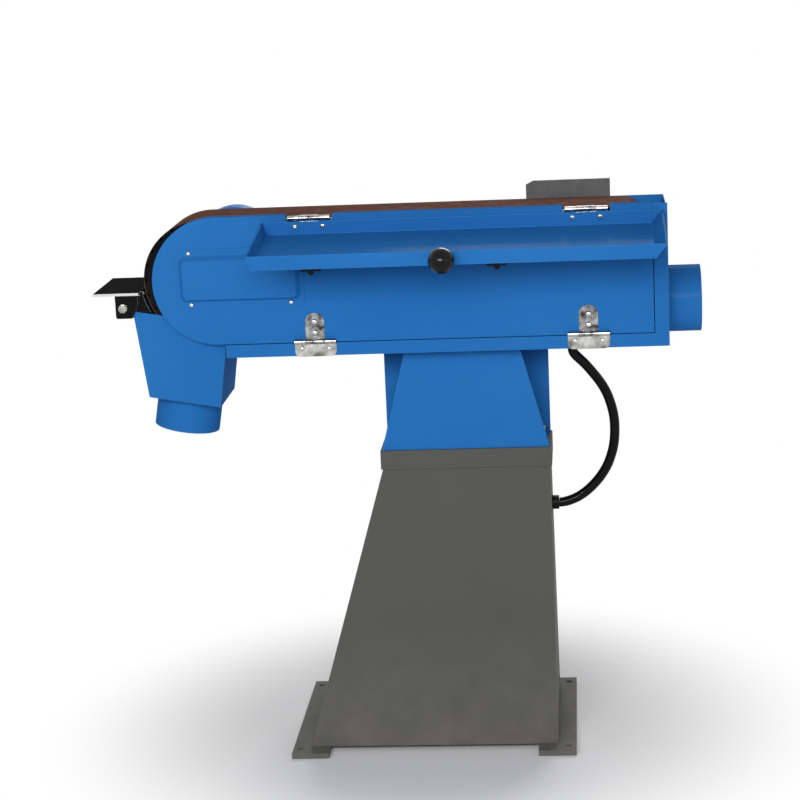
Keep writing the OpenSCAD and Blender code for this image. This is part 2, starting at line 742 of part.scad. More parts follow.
module wheel_hub() color(zinc) head() translate([wheel_x, belt_y, wheel_z]) rotate([-90, 0, 0])
    difference() {
        rotate_extrude() polygon([
            [shaft_d/2, 15], [shaft_d/2 + 18, 15], [shaft_d/2 + 18, belt_w/2 - 9],
            [wheel_r - tyre_t - 14, belt_w/2 - 7], [wheel_r - tyre_t - 8, 4], [wheel_r - tyre_t - 8, 0],
            [wheel_r - tyre_t, 0], [wheel_r - tyre_t, belt_w], [wheel_r - tyre_t - 8, belt_w],
            [wheel_r - tyre_t - 8, belt_w - 4], [wheel_r - tyre_t - 14, belt_w/2 + 7],
            [shaft_d/2 + 18, belt_w/2 + 9], [shaft_d/2 + 18, belt_w - 8], [shaft_d/2, belt_w - 8]]);
        for (i = [0:4]) rotate([0, 0, i*72]) translate([50, 0, 30]) cylinder(h = belt_w - 60, r = 13);
    }

// The rubber is cut all round by slanted slots, so that it runs cool and grips the belt evenly
module wheel_tyre() color(black) head() translate([wheel_x, belt_y, wheel_z]) rotate([-90, 0, 0])
    difference() {
        cylinder(h = belt_w, r = wheel_r);
        translate([0, 0, -1]) cylinder(h = belt_w + 2, r = wheel_r - tyre_t);
        for (i = [0:tyre_slots - 1]) rotate([0, 0, i*360/tyre_slots])
            translate([wheel_r - slot_depth, 0, belt_w/2]) rotate([slot_slant, 0, 0])
                translate([0, -slot_w/2, -belt_w]) cube([slot_depth + 6, slot_w, 2*belt_w]);
    }

module wheel_fastener() color(zinc) head() {
    rod_y(wheel_x, wheel_z, belt_y + 10, belt_y + 15, 20);
    hex_y(wheel_x, wheel_z, belt_y + 2, belt_y + 10, 9);
}

// Tension roller, its axle and the slide that carries it
module roller_axle() color(steel) head()
    rod_y(roller_x, roller_z, belt_y + 4, car_y0 + car_t + 6, axle_d/2);

module roller_shell() color(steel) head() translate([roller_x, belt_y - 1, roller_z]) rotate([-90, 0, 0])
    difference() {
        cylinder(h = belt_w + 2, r = roller_r);
        translate([0, 0, -1]) cylinder(h = belt_w + 4, r = axle_d/2 + 3);
        translate([0, 0, -1]) cylinder(h = 23, r = 26);
        translate([0, 0, belt_w - 20]) cylinder(h = 23, r = 26);
        translate([0, 0, 26]) cylinder(h = belt_w - 50, r = roller_r - 7);
    }

module roller_bearings() color(zinc) head() translate([roller_x, belt_y - 1, roller_z]) rotate([-90, 0, 0])
    for (z = [7, belt_w - 20]) translate([0, 0, z]) difference() {
        cylinder(h = 15, r = 26);
        translate([0, 0, -1]) cylinder(h = 17, r = axle_d/2 + fit);
        for (f = [-1, 15 - 1]) translate([0, 0, f]) difference() {
            cylinder(h = 2, r = 23);
            translate([0, 0, -1]) cylinder(h = 4, r = 16);
        }
    }

module tension_carriage() color(grey) head() translate([roller_x, 0, roller_z]) difference() {
    union() {
        block([car_x0, car_y0, -car_h/2], [car_x1, car_y0 + car_t, car_h/2]);
        rod_x(car_y0 + car_t/2, 0, lever_x + 41 - roller_x, car_x0, rod_r);
    }
    rod_y(0, 0, car_y0 - 1, car_y0 + car_t + 1, axle_d/2 + fit);
    rod_y(tracker_x, 0, car_y0 + 8, car_y0 + car_t + 1, tracker_d/2 + fit);
}

module slide_rails() color(grey) head() translate([0, 0, roller_z]) for (s = [0, 1]) mirror([0, 0, s])
    along_x(roller_x - 70, roller_x + 66) polygon([
        [rear_y, car_h/2 + rail_gap], [car_y0 + car_t + rail_gap, car_h/2 + rail_gap],
        [car_y0 + car_t + rail_gap, car_h/2 - 7], [car_y0 + car_t + 4.5, car_h/2 - 7],
        [car_y0 + car_t + 4.5, car_h/2 + 14], [rear_y, car_h/2 + 14]]);

module tracking_knob() color(black) head() translate([roller_x + tracker_x, 0, roller_z]) {
    rod_y(0, 0, car_y0 + 9, car_y0 + car_t + 7, tracker_d/2);
    rod_y(0, 0, car_y0 + car_t + 7, car_y0 + car_t + 27, 10);
    for (i = [0:5]) rod_y(9*cos(i*60), 9*sin(i*60), car_y0 + car_t + 9, car_y0 + car_t + 25, 5);
}

module lever_pivot() color(zinc) head() {
    rod_y(lever_x, roller_z, rear_y, car_y0 + car_t + 1, lever_pin_d/2);
    rod_y(lever_x, roller_z, rear_y, car_y0 + 4, 11);
    hex_y(lever_x, roller_z, car_y0 + car_t + 1, car_y0 + car_t + 7, 9.5);
}

// The lever's cam pushes the slide out to tighten the belt
module tension_lever() color(black) head() translate([lever_x, 0, roller_z]) {
    y0 = car_y0 + 4.3;
    y1 = car_y0 + car_t + 0.7;
    difference() {
        union() {
            rod_y(0, 0, y0, y1, 14);
            rod_y(28, 0, y0, y1, 11);
            block([0, y0, -11], [28, y1, 11]);
            block([-7, y1 - 12, -lever_l], [7, y1, 0]);
        }
        rod_y(0, 0, y0 - 1, y1 + 1, lever_pin_d/2 + fit);
    }
    translate([0, y1 - 6, -lever_l - 8]) sphere(r = 14);
}

// Motor behind the contact wheel
module motor_flange() color(blue) head() difference() {
    union() {
        rod_y(wheel_x, wheel_z, rear_y, rear_y + motor_flange_t, 96);
        rod_y(wheel_x, wheel_z, rear_y + motor_flange_t, rear_y + motor_flange_t + 14, 62);
    }
    rod_y(wheel_x, wheel_z, rear_y - 1, rear_y + motor_flange_t + 15, shaft_d/2 + fit);
}

module motor_body() color(blue) head() difference() {
    y0 = rear_y + motor_flange_t + 14;
    union() {
        rod_y(wheel_x, wheel_z, y0, y0 + motor_l, motor_r - 9);
        for (i = [0:motor_fins - 1]) translate([wheel_x, y0 + 12, wheel_z]) rotate([0, i*360/motor_fins, 0])
            translate([0, 0, -1.5]) cube([motor_r, motor_l - 24, 3]);
    }
    rod_y(wheel_x, wheel_z, y0 - 1, rear_y + 91, shaft_d/2 + fit);
}

module motor_fan_cover() color(blue) head() {
    y0 = rear_y + motor_flange_t + 14 + motor_l;
    translate([wheel_x, y0, wheel_z]) rotate([-90, 0, 0]) difference() {
        rotate_extrude() polygon([[0, 0], [motor_r + 2, 0], [motor_r + 2, fan_l - 8],
            [motor_r - 4, fan_l], [0, fan_l]]);
        for (i = [0:15]) rotate([0, 0, i*22.5]) translate([22, -3, fan_l - 5]) cube([40, 6, 6]);
    }
}

module motor_terminal_box() color(blue) head() {
    y0 = rear_y + motor_flange_t + 14 + 45;
    translate([wheel_x + motor_r, y0, wheel_z - 40]) cube([44, 92, 80]);
    rod_y(wheel_x + motor_r + 22, wheel_z, y0 - 12, y0, 11);
}

// Switch box with a start button and a stop button on its back face
box_y0 = pedestal_setback + pedestal_d;
module switch_box() color(grey) head() difference() {
    block([box_x - box_w/2, box_y0, box_z - box_h/2], [box_x + box_w/2, box_y0 + box_d, box_z + box_h/2]);
    for (s = [-1, 1])
        rod_y(box_x, box_z + s*button_dz, box_y0 + box_d - 12, box_y0 + box_d + 1, button_r + fit);
}

module button(z, reach, shade) color(shade) head()
    rod_y(box_x, z, box_y0 + box_d - 8, box_y0 + box_d + reach, button_r);

module start_button() button(box_z + button_dz, 5, [0.1, 0.5, 0.2]);

module stop_button() {
    button(box_z - button_dz, 6, [0.75, 0.08, 0.06]);
    color([0.75, 0.08, 0.06]) head()
        rod_y(box_x, box_z - button_dz, box_y0 + box_d + 6, box_y0 + box_d + 13, 18);
}

// Cable from the head's floor to the stand's side, swept along its route
function unit(v) = v/norm(v);
function turn(p, i) = unit((i < len(p) - 1 ? unit(p[i + 1] - p[i]) : [0, 0, 0])
    + (i > 0 ? unit(p[i] - p[i - 1]) : [0, 0, 0]));
function heading(p, i) = i == 0 ? [0, 0, -1] : i == len(p) - 1 ? [-1, 0, 0] : turn(p, i);

module tube_along(p, r, sides) {
    n = len(p);
    points = [for (i = [0:n - 1]) let (t = heading(p, i), u = unit(cross([0, 1, 0], t)), v = cross(t, u))
        for (k = [0:sides - 1]) p[i] + r*(cos(k*360/sides)*u + sin(k*360/sides)*v)];
    walls = [for (i = [0:n - 2], k = [0:sides - 1]) let (a = i*sides + k, b = i*sides + (k + 1)%sides)
        each [[a, b, b + sides], [a, b + sides, a + sides]]];
    ends = [[for (k = [sides - 1:-1:0]) k], [for (k = [0:sides - 1]) (n - 1)*sides + k]];
    polyhedron(points, [for (f = concat(walls, ends)) [for (j = [len(f) - 1:-1:0]) f[j]]]);
}

module cable() color(black) head() tube_along(cable_route, cable_d/2, 12);

// A gland: a hex body against the sheet and a round nut that the cable meets
module gland(h) {
    cylinder(h = h*0.45, r = 15, $fn = 6);
    cylinder(h = h, r = 12.5);
}

module floor_gland() color(black) head()
    translate(cable_start) gland(frame_z - cable_start[2]);

module stand_gland() color(black) head()
    translate(cable_end) rotate([0, -90, 0]) cylinder(h = cable_end[0] - nose_reach, r = 13);

stand_column();
stand_cap();
foot_rails();
pedestal_front();
pedestal_rear();
pedestal_webs();
pedestal_foot();
pedestal_bolts();
back_plate();
floor_channel();
end_channel();
hopper();
hopper_outlet();
end_outlet();
platen();
platen_brackets();
door_posts();
fence_plate();
fence_bolts();
door_hinge_leaves();
door_hinge_pins();
motor_flange();
motor_body();
motor_fan_cover();
motor_terminal_box();
slide_rails();
lever_pivot();
switch_box();
start_button();
stop_button();
cable();
floor_gland();
stand_gland();
table_arm_front();
table_arm_rear();
table_bolts();
work_table();
abrasive_belt();
drive_shaft();
wheel_hub();
wheel_tyre();
wheel_fastener();
tension_carriage();
roller_axle();
roller_shell();
roller_bearings();
tracking_knob();
tension_lever();
door_panel();
door_plate();
door_rivets();
door_hinge_straps();
lid_hinge_straps();
star_knob_left();
star_knob_right();
lid_tray();
lid_hinge_leaves();
lid_hinge_pins();
lid_knob();
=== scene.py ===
"""Dress the belt sanding machine in paint, rubber, grit and bright metal, and light it."""

import logging
import math
from dataclasses import dataclass, field
from enum import Enum
from typing import Callable, ClassVar, Iterable

import bmesh
import bpy
from mathutils import Matrix, Vector


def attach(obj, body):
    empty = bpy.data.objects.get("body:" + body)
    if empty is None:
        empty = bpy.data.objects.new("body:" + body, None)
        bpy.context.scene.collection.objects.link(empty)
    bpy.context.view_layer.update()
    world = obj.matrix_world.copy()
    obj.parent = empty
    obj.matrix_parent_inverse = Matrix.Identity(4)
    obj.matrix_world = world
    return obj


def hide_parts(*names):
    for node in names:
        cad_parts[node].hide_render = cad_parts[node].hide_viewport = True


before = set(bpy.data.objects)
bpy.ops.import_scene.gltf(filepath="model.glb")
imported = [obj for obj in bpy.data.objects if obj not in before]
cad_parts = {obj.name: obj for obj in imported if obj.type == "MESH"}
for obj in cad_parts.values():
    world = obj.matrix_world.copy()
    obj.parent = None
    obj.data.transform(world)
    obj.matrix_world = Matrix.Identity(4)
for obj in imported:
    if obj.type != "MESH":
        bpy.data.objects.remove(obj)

log = logging.getLogger("belt_sander")

Colour = tuple[float, float, float]
Point = tuple[float, float, float]
# X, Z, width, height and corner radius of a rectangle on the door in millimetres
Panel = tuple[float, float, float, float, float]
# The points of a flat line, such as one level of a solid or the profile of a turned one
Outline = list[tuple[float, float]]
# Name, type and first value of each socket
Sockets = Iterable[tuple[str, str, object]]

# Blender's names for the types of a tree's sockets
FLOAT, VECTOR, COLOUR = "NodeSocketFloat", "NodeSocketVector", "NodeSocketColor"
GEOMETRY, MATERIAL = "NodeSocketGeometry", "NodeSocketMaterial"

MM = 0.001
# The head's own frame has its origin at the door's nose centre
HEAD_ORIGIN = Vector((-0.353, -0.215, 0.915))
FRONT = Vector((0, -1, 0))
REAR = Vector((0, 1, 0))
# Edges sharper than this stay sharp, on made pieces and on rounded copies
SHARP = math.radians(35)
SHARP_COPY = math.radians(50)
# A rounded copy may fold back over at most this length, in metres, and grow by this factor
FOLD_ALLOWED = 0.003
GROWTH_ALLOWED = 1.003
# Two triangles lie back to back where the product of their normals is below this
BACK_TO_BACK = -0.98
# Faces that meet at less than this are one flat face, and edges sharper than this are rounded
SAME_PLANE = math.radians(0.4)
ROUNDED_FROM = math.radians(32)
# Corners closer than this are one, in metres: in made pieces, in CAD nodes and along their edges
SAME_CORNER = 1e-7
SAME_CAD_CORNER = 2e-6
SHORTEST_EDGE = 1e-6
# Side of the photograph in pixels, and width of the camera's sensor in millimetres
PHOTO_SIDE = 800
SENSOR = 36
WHITE = (1.0, 1.0, 1.0, 1.0)


def head(x: float, y: float, z: float) -> Vector:
    """Turn a place on the sanding head into the machine's frame.

    Args:
        x: Millimetres right of the door's nose centre.
        y: Millimetres behind the door's face.
        z: Millimetres above the nose centre.

    Returns:
        The same place in metres.
    """
    return HEAD_ORIGIN + Vector((x, y, z)) * MM


class Faces(Enum):
    """How the flat faces of a CAD node's copy are divided before its edges are rounded."""

    WHOLE = "one polygon to a face"
    EVEN_TRIANGLES = "triangles as even as can be"
    AS_GIVEN = "the CAD node's own triangles"


class Slot(Enum):
    """The record's finishes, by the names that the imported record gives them."""

    PAINTED_BLUE = "painted_blue"
    MOTOR_BLUE = "motor_blue"
    PAINTED_GREY = "painted_grey"
    PAINTED_BLACK = "painted_black"
    ZINC = "zinc"
    STEEL = "steel"
    ALLOY = "alloy"
    RUBBER_BLACK = "rubber_black"
    ABRASIVE = "abrasive"
    KNOB_BLACK = "knob_black"
    CABLE_BLACK = "cable_black"
    PLASTIC_GREY = "plastic_grey"
    BUTTON_GREEN = "button_green"
    BUTTON_RED = "button_red"


class Grain(Enum):
    """The fine relief that a finish carries, as stretch factors of its pattern."""

    EVEN = (1.0, 1.0, 1.0)
    ALONG_X = (0.04, 1.0, 1.0)
    TURNED_Y = (1.0, 30.0, 1.0)


# --------------------------------------------------------------------------- node trees


@dataclass
class Wiring:
    """Adds nodes to one tree, from left to right, and joins them."""

    tree: bpy.types.NodeTree
    column: int = 0

    def add(self, kind: str, inputs: dict[str | int, object] | None = None,
            **settings: object) -> bpy.types.Node:
        """Add a node and fill or link its inputs.

        Args:
            kind: Blender's type name of the node.
            inputs: Values or output sockets, by the input's name or number.
            **settings: Properties of the node itself, such as its operation.

        Returns:
            The new node.
        """
        node = self.tree.nodes.new(kind)
        node.location = (self.column * 190, -(self.column % 4) * 60)
        self.column += 1
        for key, value in settings.items():
            setattr(node, key, value)
        for key, value in (inputs or {}).items():
            if isinstance(value, bpy.types.NodeSocket):
                self.tree.links.new(value, node.inputs[key])
            else:
                node.inputs[key].default_value = value
        return node

    def join(self, source: bpy.types.NodeSocket, target: bpy.types.NodeSocket) -> None:
        """Link one output to one input."""
        self.tree.links.new(source, target)

    def here(self) -> bpy.types.NodeSocket:
        """Add the place in the object's own coordinates, and return it."""
        return self.add("ShaderNodeTexCoord").outputs["Object"]

    def maths(self, operation: str, *values: object, **settings: object) -> bpy.types.NodeSocket:
        """Add a sum.

        Args:
            operation: Blender's name of the operation.
            *values: Its inputs in order, as values or output sockets.
            **settings: Further properties of the node.

        Returns:
            The result.
        """
        return self.add("ShaderNodeMath", dict(enumerate(values)), operation=operation,
                        **settings).outputs[0]

    def noise(self, place: bpy.types.NodeSocket, scale: object, detail: object,
              roughness: float = 0.5) -> bpy.types.NodeSocket:
        """Add a cloudy pattern.

        Args:
            place: Where it is read.
            scale: Patches in a metre.
            detail: Octaves.
            roughness: Strength of the finer octaves.

        Returns:
            The pattern, from 0 to 1.
        """
        return self.add("ShaderNodeTexNoise", {
            "Vector": place, "Scale": scale, "Detail": detail,
            "Roughness": roughness}).outputs["Fac"]

    def ranged(self, value: bpy.types.NodeSocket, low: object, high: object,
               to_low: object = 0.0, to_high: object = 1.0,
               **settings: object) -> bpy.types.NodeSocket:
        """Stretch a value from one range to another and clamp it.

        Args:
            value: The value.
            low: Where the range begins.
            high: Where the range ends.
            to_low: Result at its beginning.
            to_high: Result at its end.
            **settings: Further properties of the node.

        Returns:
            The result.
        """
        return self.add("ShaderNodeMapRange", {
            "Value": value, "From Min": low, "From Max": high, "To Min": to_low,
            "To Max": to_high}, **settings).outputs["Result"]

    def blend(self, share: bpy.types.NodeSocket, first: object,
              second: object) -> bpy.types.NodeSocket:
        """Mix two colours.

        Args:
            share: Share of the second.
            first: A colour or an output socket.
            second: A colour or an output socket.

        Returns:
            The mixed colour.
        """
        return self.add("ShaderNodeMix", {0: share, 6: first, 7: second},
                        data_type="RGBA").outputs[2]


DUST_COLOUR: Colour = (0.32, 0.3, 0.27)
FLOOR_COLOUR: Colour = (0.86, 0.86, 0.86)
COAT_ROUGHNESS = 0.12
# Most of a cloudy pattern lies between these two values
CLOUDS = (0.3, 0.7)
# The edge mask begins at the first value and is full at the second: on black paint and dark steel
# it shows what is under the finish, on blue and grey paint it is a painted highlight
RUBBED_AND_HIGHLIT = (0.62, 0.8)
# Patches in a metre: of gloss, of dust and of the wandering edge of paint
GLOSS_PATCHES, DUST_PATCHES, PAINT_PATCHES = 38.0, 22.0, 160.0


class TreeShelf:
    """Node trees that are built at their first use and shared from then on.

    Attributes:
        kind: Blender's type of the trees.
        built: The trees by name.
    """

    kind: ClassVar[str] = ""
    built: ClassVar[dict[str, bpy.types.NodeTree]] = {}

    @classmethod
    def makers(cls) -> dict[str, Callable[[], bpy.types.NodeTree]]:
        """Give what builds each tree, by the tree's name."""
        raise NotImplementedError

    @classmethod
    def fetch(cls, name: str) -> bpy.types.NodeTree:
        """Return a tree by name, building it at its first use.

        Args:
            name: Name of the tree.

        Returns:
            The tree.
        """
        if name not in cls.built:
            cls.built[name] = cls.makers()[name]()
        return cls.built[name]

    @classmethod
    def start(cls, name: str, inputs: Sockets, outputs: Sockets) -> Wiring:
        """Make an empty tree with its named sockets.

        Args:
            name: Name of the tree.
            inputs: Name, socket type and first value of each input.
            outputs: The same of each output, without a value.

        Returns:
            The wiring of the new tree.
        """
        tree = bpy.data.node_groups.new(name, cls.kind)
        for way, sockets in (("INPUT", inputs), ("OUTPUT", outputs)):
            for label, kind, value in sockets:
                socket = tree.interface.new_socket(name=label, in_out=way, socket_type=kind)
                if value is not None:
                    socket.default_value = value
        return Wiring(tree)


class SurfaceGroups(TreeShelf):
    """Shader groups for effects that several finishes share."""

    kind = "ShaderNodeTree"

    @classmethod
    def makers(cls) -> dict[str, Callable[[], bpy.types.NodeTree]]:
        """Give what builds each group, by the group's name."""
        return {"fine_relief": cls._fine_relief, "drift_and_painted_reflection": cls._drift_and_painted_reflection,
                "edge_rub_and_highlight": cls._edge_rub_and_highlight, "settled_dust": cls._settled_dust}

    @classmethod
    def _fine_relief(cls) -> bpy.types.NodeTree:
        """Build the small bumps of a surface: orange peel, brush lines or moulded grain.

        Returns:
            The finished tree.
        """
        wiring = cls.start(
            "fine_relief", [("Scale", FLOAT, 300.0), ("Detail", FLOAT, 2.0),
                            ("Stretch", VECTOR, (1.0, 1.0, 1.0))], [("Height", FLOAT, None)])
        given = wiring.add("NodeGroupInput").outputs
        drawn = wiring.add("ShaderNodeVectorMath", {0: wiring.here(), 1: given["Stretch"]},
                           operation="MULTIPLY")
        wiring.add("NodeGroupOutput", {"Height": wiring.noise(
            drawn.outputs[0], given["Scale"], given["Detail"], 0.55)})
        return wiring.tree

    @classmethod
    def _drift_and_painted_reflection(cls) -> bpy.types.NodeTree:
        """Build a slow drift of colour and gloss over a surface; on the zinc finishes its dark
        second colour paints in reflections.

        Returns:
            The finished tree.
        """
        wiring = cls.start(
            "drift_and_painted_reflection", [("Colour", COLOUR, (0.5, 0.5, 0.5, 1.0)),
                           ("Other colour", COLOUR, (0.4, 0.4, 0.4, 1.0)),
                           ("Scale", FLOAT, 6.0), ("Amount", FLOAT, 0.5),
                           ("Smoothest", FLOAT, 0.3), ("Roughest", FLOAT, 0.4)],
            [("Colour", COLOUR, None), ("Roughness", FLOAT, None)])
        given = wiring.add("NodeGroupInput").outputs
        place = wiring.here()
        broad = wiring.noise(place, given["Scale"], 3.0)
        spread = wiring.ranged(broad, *CLOUDS, 0.0, given["Amount"])
        tone = wiring.blend(spread, given["Colour"], given["Other colour"])
        small = wiring.noise(place, GLOSS_PATCHES, 4.0)
        gloss = wiring.ranged(small, *CLOUDS, given["Smoothest"], given["Roughest"])
        wiring.add("NodeGroupOutput", {"Colour": tone, "Roughness": gloss})
        return wiring.tree

    @classmethod
    def _edge_rub_and_highlight(cls) -> bpy.types.NodeTree:
        """Build the mask of rubbed edges, and of painted edge highlights, from the piece's own edge
        attribute.

        Returns:
            The finished tree.
        """
        wiring = cls.start(
            "edge_rub_and_highlight", [("Edge", FLOAT, 0.0), ("Amount", FLOAT, 0.3),
                          ("Patch scale", FLOAT, 45.0)], [("Mask", FLOAT, None)])
        given = wiring.add("NodeGroupInput").outputs
        patches = wiring.noise(wiring.here(), given["Patch scale"], 5.0, 0.65)
        reach = wiring.maths("ADD", given["Amount"], patches)
        rubbed_and_highlit = wiring.maths("MULTIPLY", reach, given["Edge"])
        wiring.add("NodeGroupOutput", {"Mask": wiring.ranged(rubbed_and_highlit, *RUBBED_AND_HIGHLIT)})
        return wiring.tree

    @classmethod
    def _settled_dust(cls) -> bpy.types.NodeTree:
        """Build the mask of fine dust that gathers towards the floor.

        Returns:
            The finished tree.
        """
        wiring = cls.start(
            "settled_dust", [("Amount", FLOAT, 0.3), ("Height", FLOAT, 0.25)],
            [("Mask", FLOAT, None)])
        given = wiring.add("NodeGroupInput").outputs
        place = wiring.here()
        parts = wiring.add("ShaderNodeSeparateXYZ", {0: place})
        low = wiring.ranged(parts.outputs["Z"], 0.0, given["Height"], 1.0, 0.0)
        both = wiring.maths("MULTIPLY", low, wiring.noise(place, DUST_PATCHES, 6.0))
        wiring.add("NodeGroupOutput", {"Mask": wiring.maths(
            "MULTIPLY", both, given["Amount"], use_clamp=True)})
        return wiring.tree


# --------------------------------------------------------------------------- finishes


@dataclass(frozen=True)
class Finish:
    """A finish whose colour and gloss drift slightly and whose surface has a fine relief.

    Attributes:
        name: Name of the material.
        colour: Linear colour where the surface is at its plainest.
        other: Linear colour that it drifts towards; on the zinc finishes a dark colour whose
            patches are painted reflections.
        drift: Share of the other colour at most.
        drift_scale: Patches of drift in a metre.
        smooth: Lowest roughness.
        rough: Highest roughness.
        metal: 1 for bare metal.
        gloss: Specular level of the shader.
        coat: Weight of a clear coat.
        relief_scale: Bumps of the relief in a metre.
        relief: Depth of the relief in metres.
        grain: How the relief is drawn out.
        rub_and_highlight: How far the rounded edges take their second colour, 0 for none; on the
            blue and grey paint it is a painted highlight, elsewhere rubbed edges.
        rubbed_and_highlit_to: Colour of the rubbed edges, a lighter painted highlight on blue and
            grey paint.
        bares: Whether the rubbed edges show bare metal; where they don't, the edge colour is a
            painted highlight.
        dust: Amount of dust near the floor.
    """

    name: str
    colour: Colour
    other: Colour
    drift: float = 0.5
    drift_scale: float = 5.0
    smooth: float = 0.3
    rough: float = 0.4
    metal: float = 0.0
    gloss: float = 0.5
    coat: float = 0.0
    relief_scale: float = 400.0
    relief: float = 0.00002
    grain: Grain = Grain.EVEN
    rub_and_highlight: float = 0.0
    rubbed_and_highlit_to: Colour = (0.35, 0.35, 0.36)
    bares: bool = True
    dust: float = 0.0

    def material(self) -> bpy.types.Material:
        """Build the finish, or return it if it is built already.

        Returns:
            The material.
        """
        found = bpy.data.materials.get(self.name)
        if found is not None and found.get("dressed"):
            return found
        material = bpy.data.materials.new(self.name)
        material["dressed"] = True
        material.use_nodes = True
        material.node_tree.nodes.clear()
        wiring = Wiring(material.node_tree)
        shader = self._shader(wiring)
        wiring.add("ShaderNodeOutputMaterial", {"Surface": shader.outputs[0]})
        return material

    @staticmethod
    def _group(wiring: Wiring, name: str, inputs: dict[str | int, object]) -> bpy.types.Node:
        """Place a shared group in this material with its own values."""
        return wiring.add("ShaderNodeGroup", inputs, node_tree=SurfaceGroups.fetch(name))

    @staticmethod
    def _bump(wiring: Wiring, shader: bpy.types.Node, height: bpy.types.NodeSocket,
              depth: float, strength: float = 1.0, invert: bool = False) -> None:
        """Stand a pattern out of the surface.

        Args:
            wiring: Wiring of the material's tree.
            shader: The shader node.
            height: The pattern.
            depth: Its depth in metres.
            strength: Share of it that is kept.
            invert: Whether its low places stand out.
        """
        bump = wiring.add("ShaderNodeBump", {
            "Height": height, "Strength": strength, "Distance": depth}, invert=invert)
        wiring.join(bump.outputs["Normal"], shader.inputs["Normal"])

    def _shader(self, wiring: Wiring) -> bpy.types.Node:
        """Wire colour, gloss and relief to one shader.

        Args:
            wiring: Wiring of the material's tree.

        Returns:
            The shader node.
        """
        # On paint this drift is random tone; on the zinc finishes its dark patches are painted
        # reflections.
        tone = self._group(wiring, "drift_and_painted_reflection", {
            "Colour": (*self.colour, 1.0), "Other colour": (*self.other, 1.0),
            "Scale": self.drift_scale, "Amount": self.drift,
            "Smoothest": self.smooth, "Roughest": self.rough})
        colour = tone.outputs["Colour"]
        shader = wiring.add("ShaderNodeBsdfPrincipled", {
            "Metallic": self.metal, "Specular IOR Level": self.gloss,
            "Coat Weight": self.coat, "Coat Roughness": COAT_ROUGHNESS})
        if self.dust > 0:
            dust = self._group(wiring, "settled_dust", {"Amount": self.dust})
            colour = wiring.blend(dust.outputs["Mask"], colour, (*DUST_COLOUR, 1.0))
        # Rounded edges take a second colour through the edge mask: rubbed bare metal where the
        # finish bares, and a painted highlight in a lighter shade of the paint where it doesn't
        # (blue and grey paint).
        if self.rub_and_highlight > 0:
            edge = wiring.add("ShaderNodeAttribute", attribute_name="edge")
            rub_and_highlight = self._group(wiring, "edge_rub_and_highlight", {
                "Edge": edge.outputs["Fac"], "Amount": self.rub_and_highlight})
            colour = wiring.blend(rub_and_highlight.outputs["Mask"], colour, (*self.rubbed_and_highlit_to, 1.0))
            if self.metal == 0 and self.bares:
                wiring.join(rub_and_highlight.outputs["Mask"], shader.inputs["Metallic"])
        wiring.join(colour, shader.inputs["Base Color"])
        wiring.join(tone.outputs["Roughness"], shader.inputs["Roughness"])
        relief = self._group(wiring, "fine_relief", {
            "Scale": self.relief_scale, "Stretch": self.grain.value})
        self._bump(wiring, shader, relief.outputs["Height"], self.relief)
        return shader


@dataclass(frozen=True)
class AbrasiveFinish(Finish):
    """Bonded grit on cloth: separate grains of two colours standing out of the resin.

    Attributes:
        grains: Grains in a metre.
        stand: How far they stand out, in metres.
    """

    grains: float = 1400.0
    stand: float = 0.00025

    def _shader(self, wiring: Wiring) -> bpy.types.Node:
        """Wire the grains to the shader.

        Args:
            wiring: Wiring of the material's tree.

        Returns:
            The shader node.
        """
        shader = Finish._shader(self, wiring)
        grit = wiring.add("ShaderNodeTexVoronoi", {
            "Vector": wiring.here(), "Scale": self.grains, "Randomness": 1.0})
        pick = wiring.add("ShaderNodeSeparateColor", {0: grit.outputs["Color"]})
        colour = wiring.blend(wiring.ranged(pick.outputs[0], 0.35, 0.65),
                              (*self.colour, 1.0), (*self.other, 1.0))
        wiring.join(colour, shader.inputs["Base Color"])
        self._bump(wiring, shader, grit.outputs["Distance"], self.stand, invert=True)
        return shader


@dataclass(frozen=True)
class BareFaceFinish(Finish):
    """Paint on a plate whose near face is ground to bare metal.

    Attributes:
        bare_y: Y of the bare face in metres.
        bare_z: Z above which it is bare, in metres.
        bare: Linear colour of the bare metal.
        bare_rough: Roughness of the bare metal.
        ragged: How far the paint's edge wanders, in metres.
        edge: How far behind the bare face the paint is whole and is gone, in metres.
    """

    bare_y: float = 0.0
    bare_z: float = 0.0
    bare: Colour = (0.55, 0.55, 0.55)
    bare_rough: float = 0.34
    ragged: float = 0.0012
    edge: tuple[float, float] = (0.0019, 0.0011)

    def _shader(self, wiring: Wiring) -> bpy.types.Node:
        """Wire the bare face over the paint.

        Args:
            wiring: Wiring of the material's tree.

        Returns:
            The shader node.
        """
        shader = Finish._shader(self, wiring)
        place = wiring.here()
        parts = wiring.add("ShaderNodeSeparateXYZ", {0: place})
        shift = wiring.maths("MULTIPLY_ADD", wiring.noise(place, PAINT_PATCHES, 4.0),
                             self.ragged, parts.outputs["Y"])
        near = wiring.ranged(shift, *(self.bare_y + y for y in self.edge))
        above = wiring.maths("GREATER_THAN", parts.outputs["Z"], self.bare_z)
        mask = wiring.maths("MULTIPLY", near, above)
        for key, value, kind in (("Base Color", (*self.bare, 1.0), "RGBA"),
                                 ("Metallic", 1.0, "FLOAT"),
                                 ("Roughness", self.bare_rough, "FLOAT")):
            first = 6 if kind == "RGBA" else 2
            links = shader.inputs[key].links
            before = links[0].from_socket if links else shader.inputs[key].default_value
            mixed = wiring.add("ShaderNodeMix", {
                0: mask, first: before, first + 1: value}, data_type=kind)
            wiring.join(mixed.outputs[2 if kind == "RGBA" else 0], shader.inputs[key])
        return shader


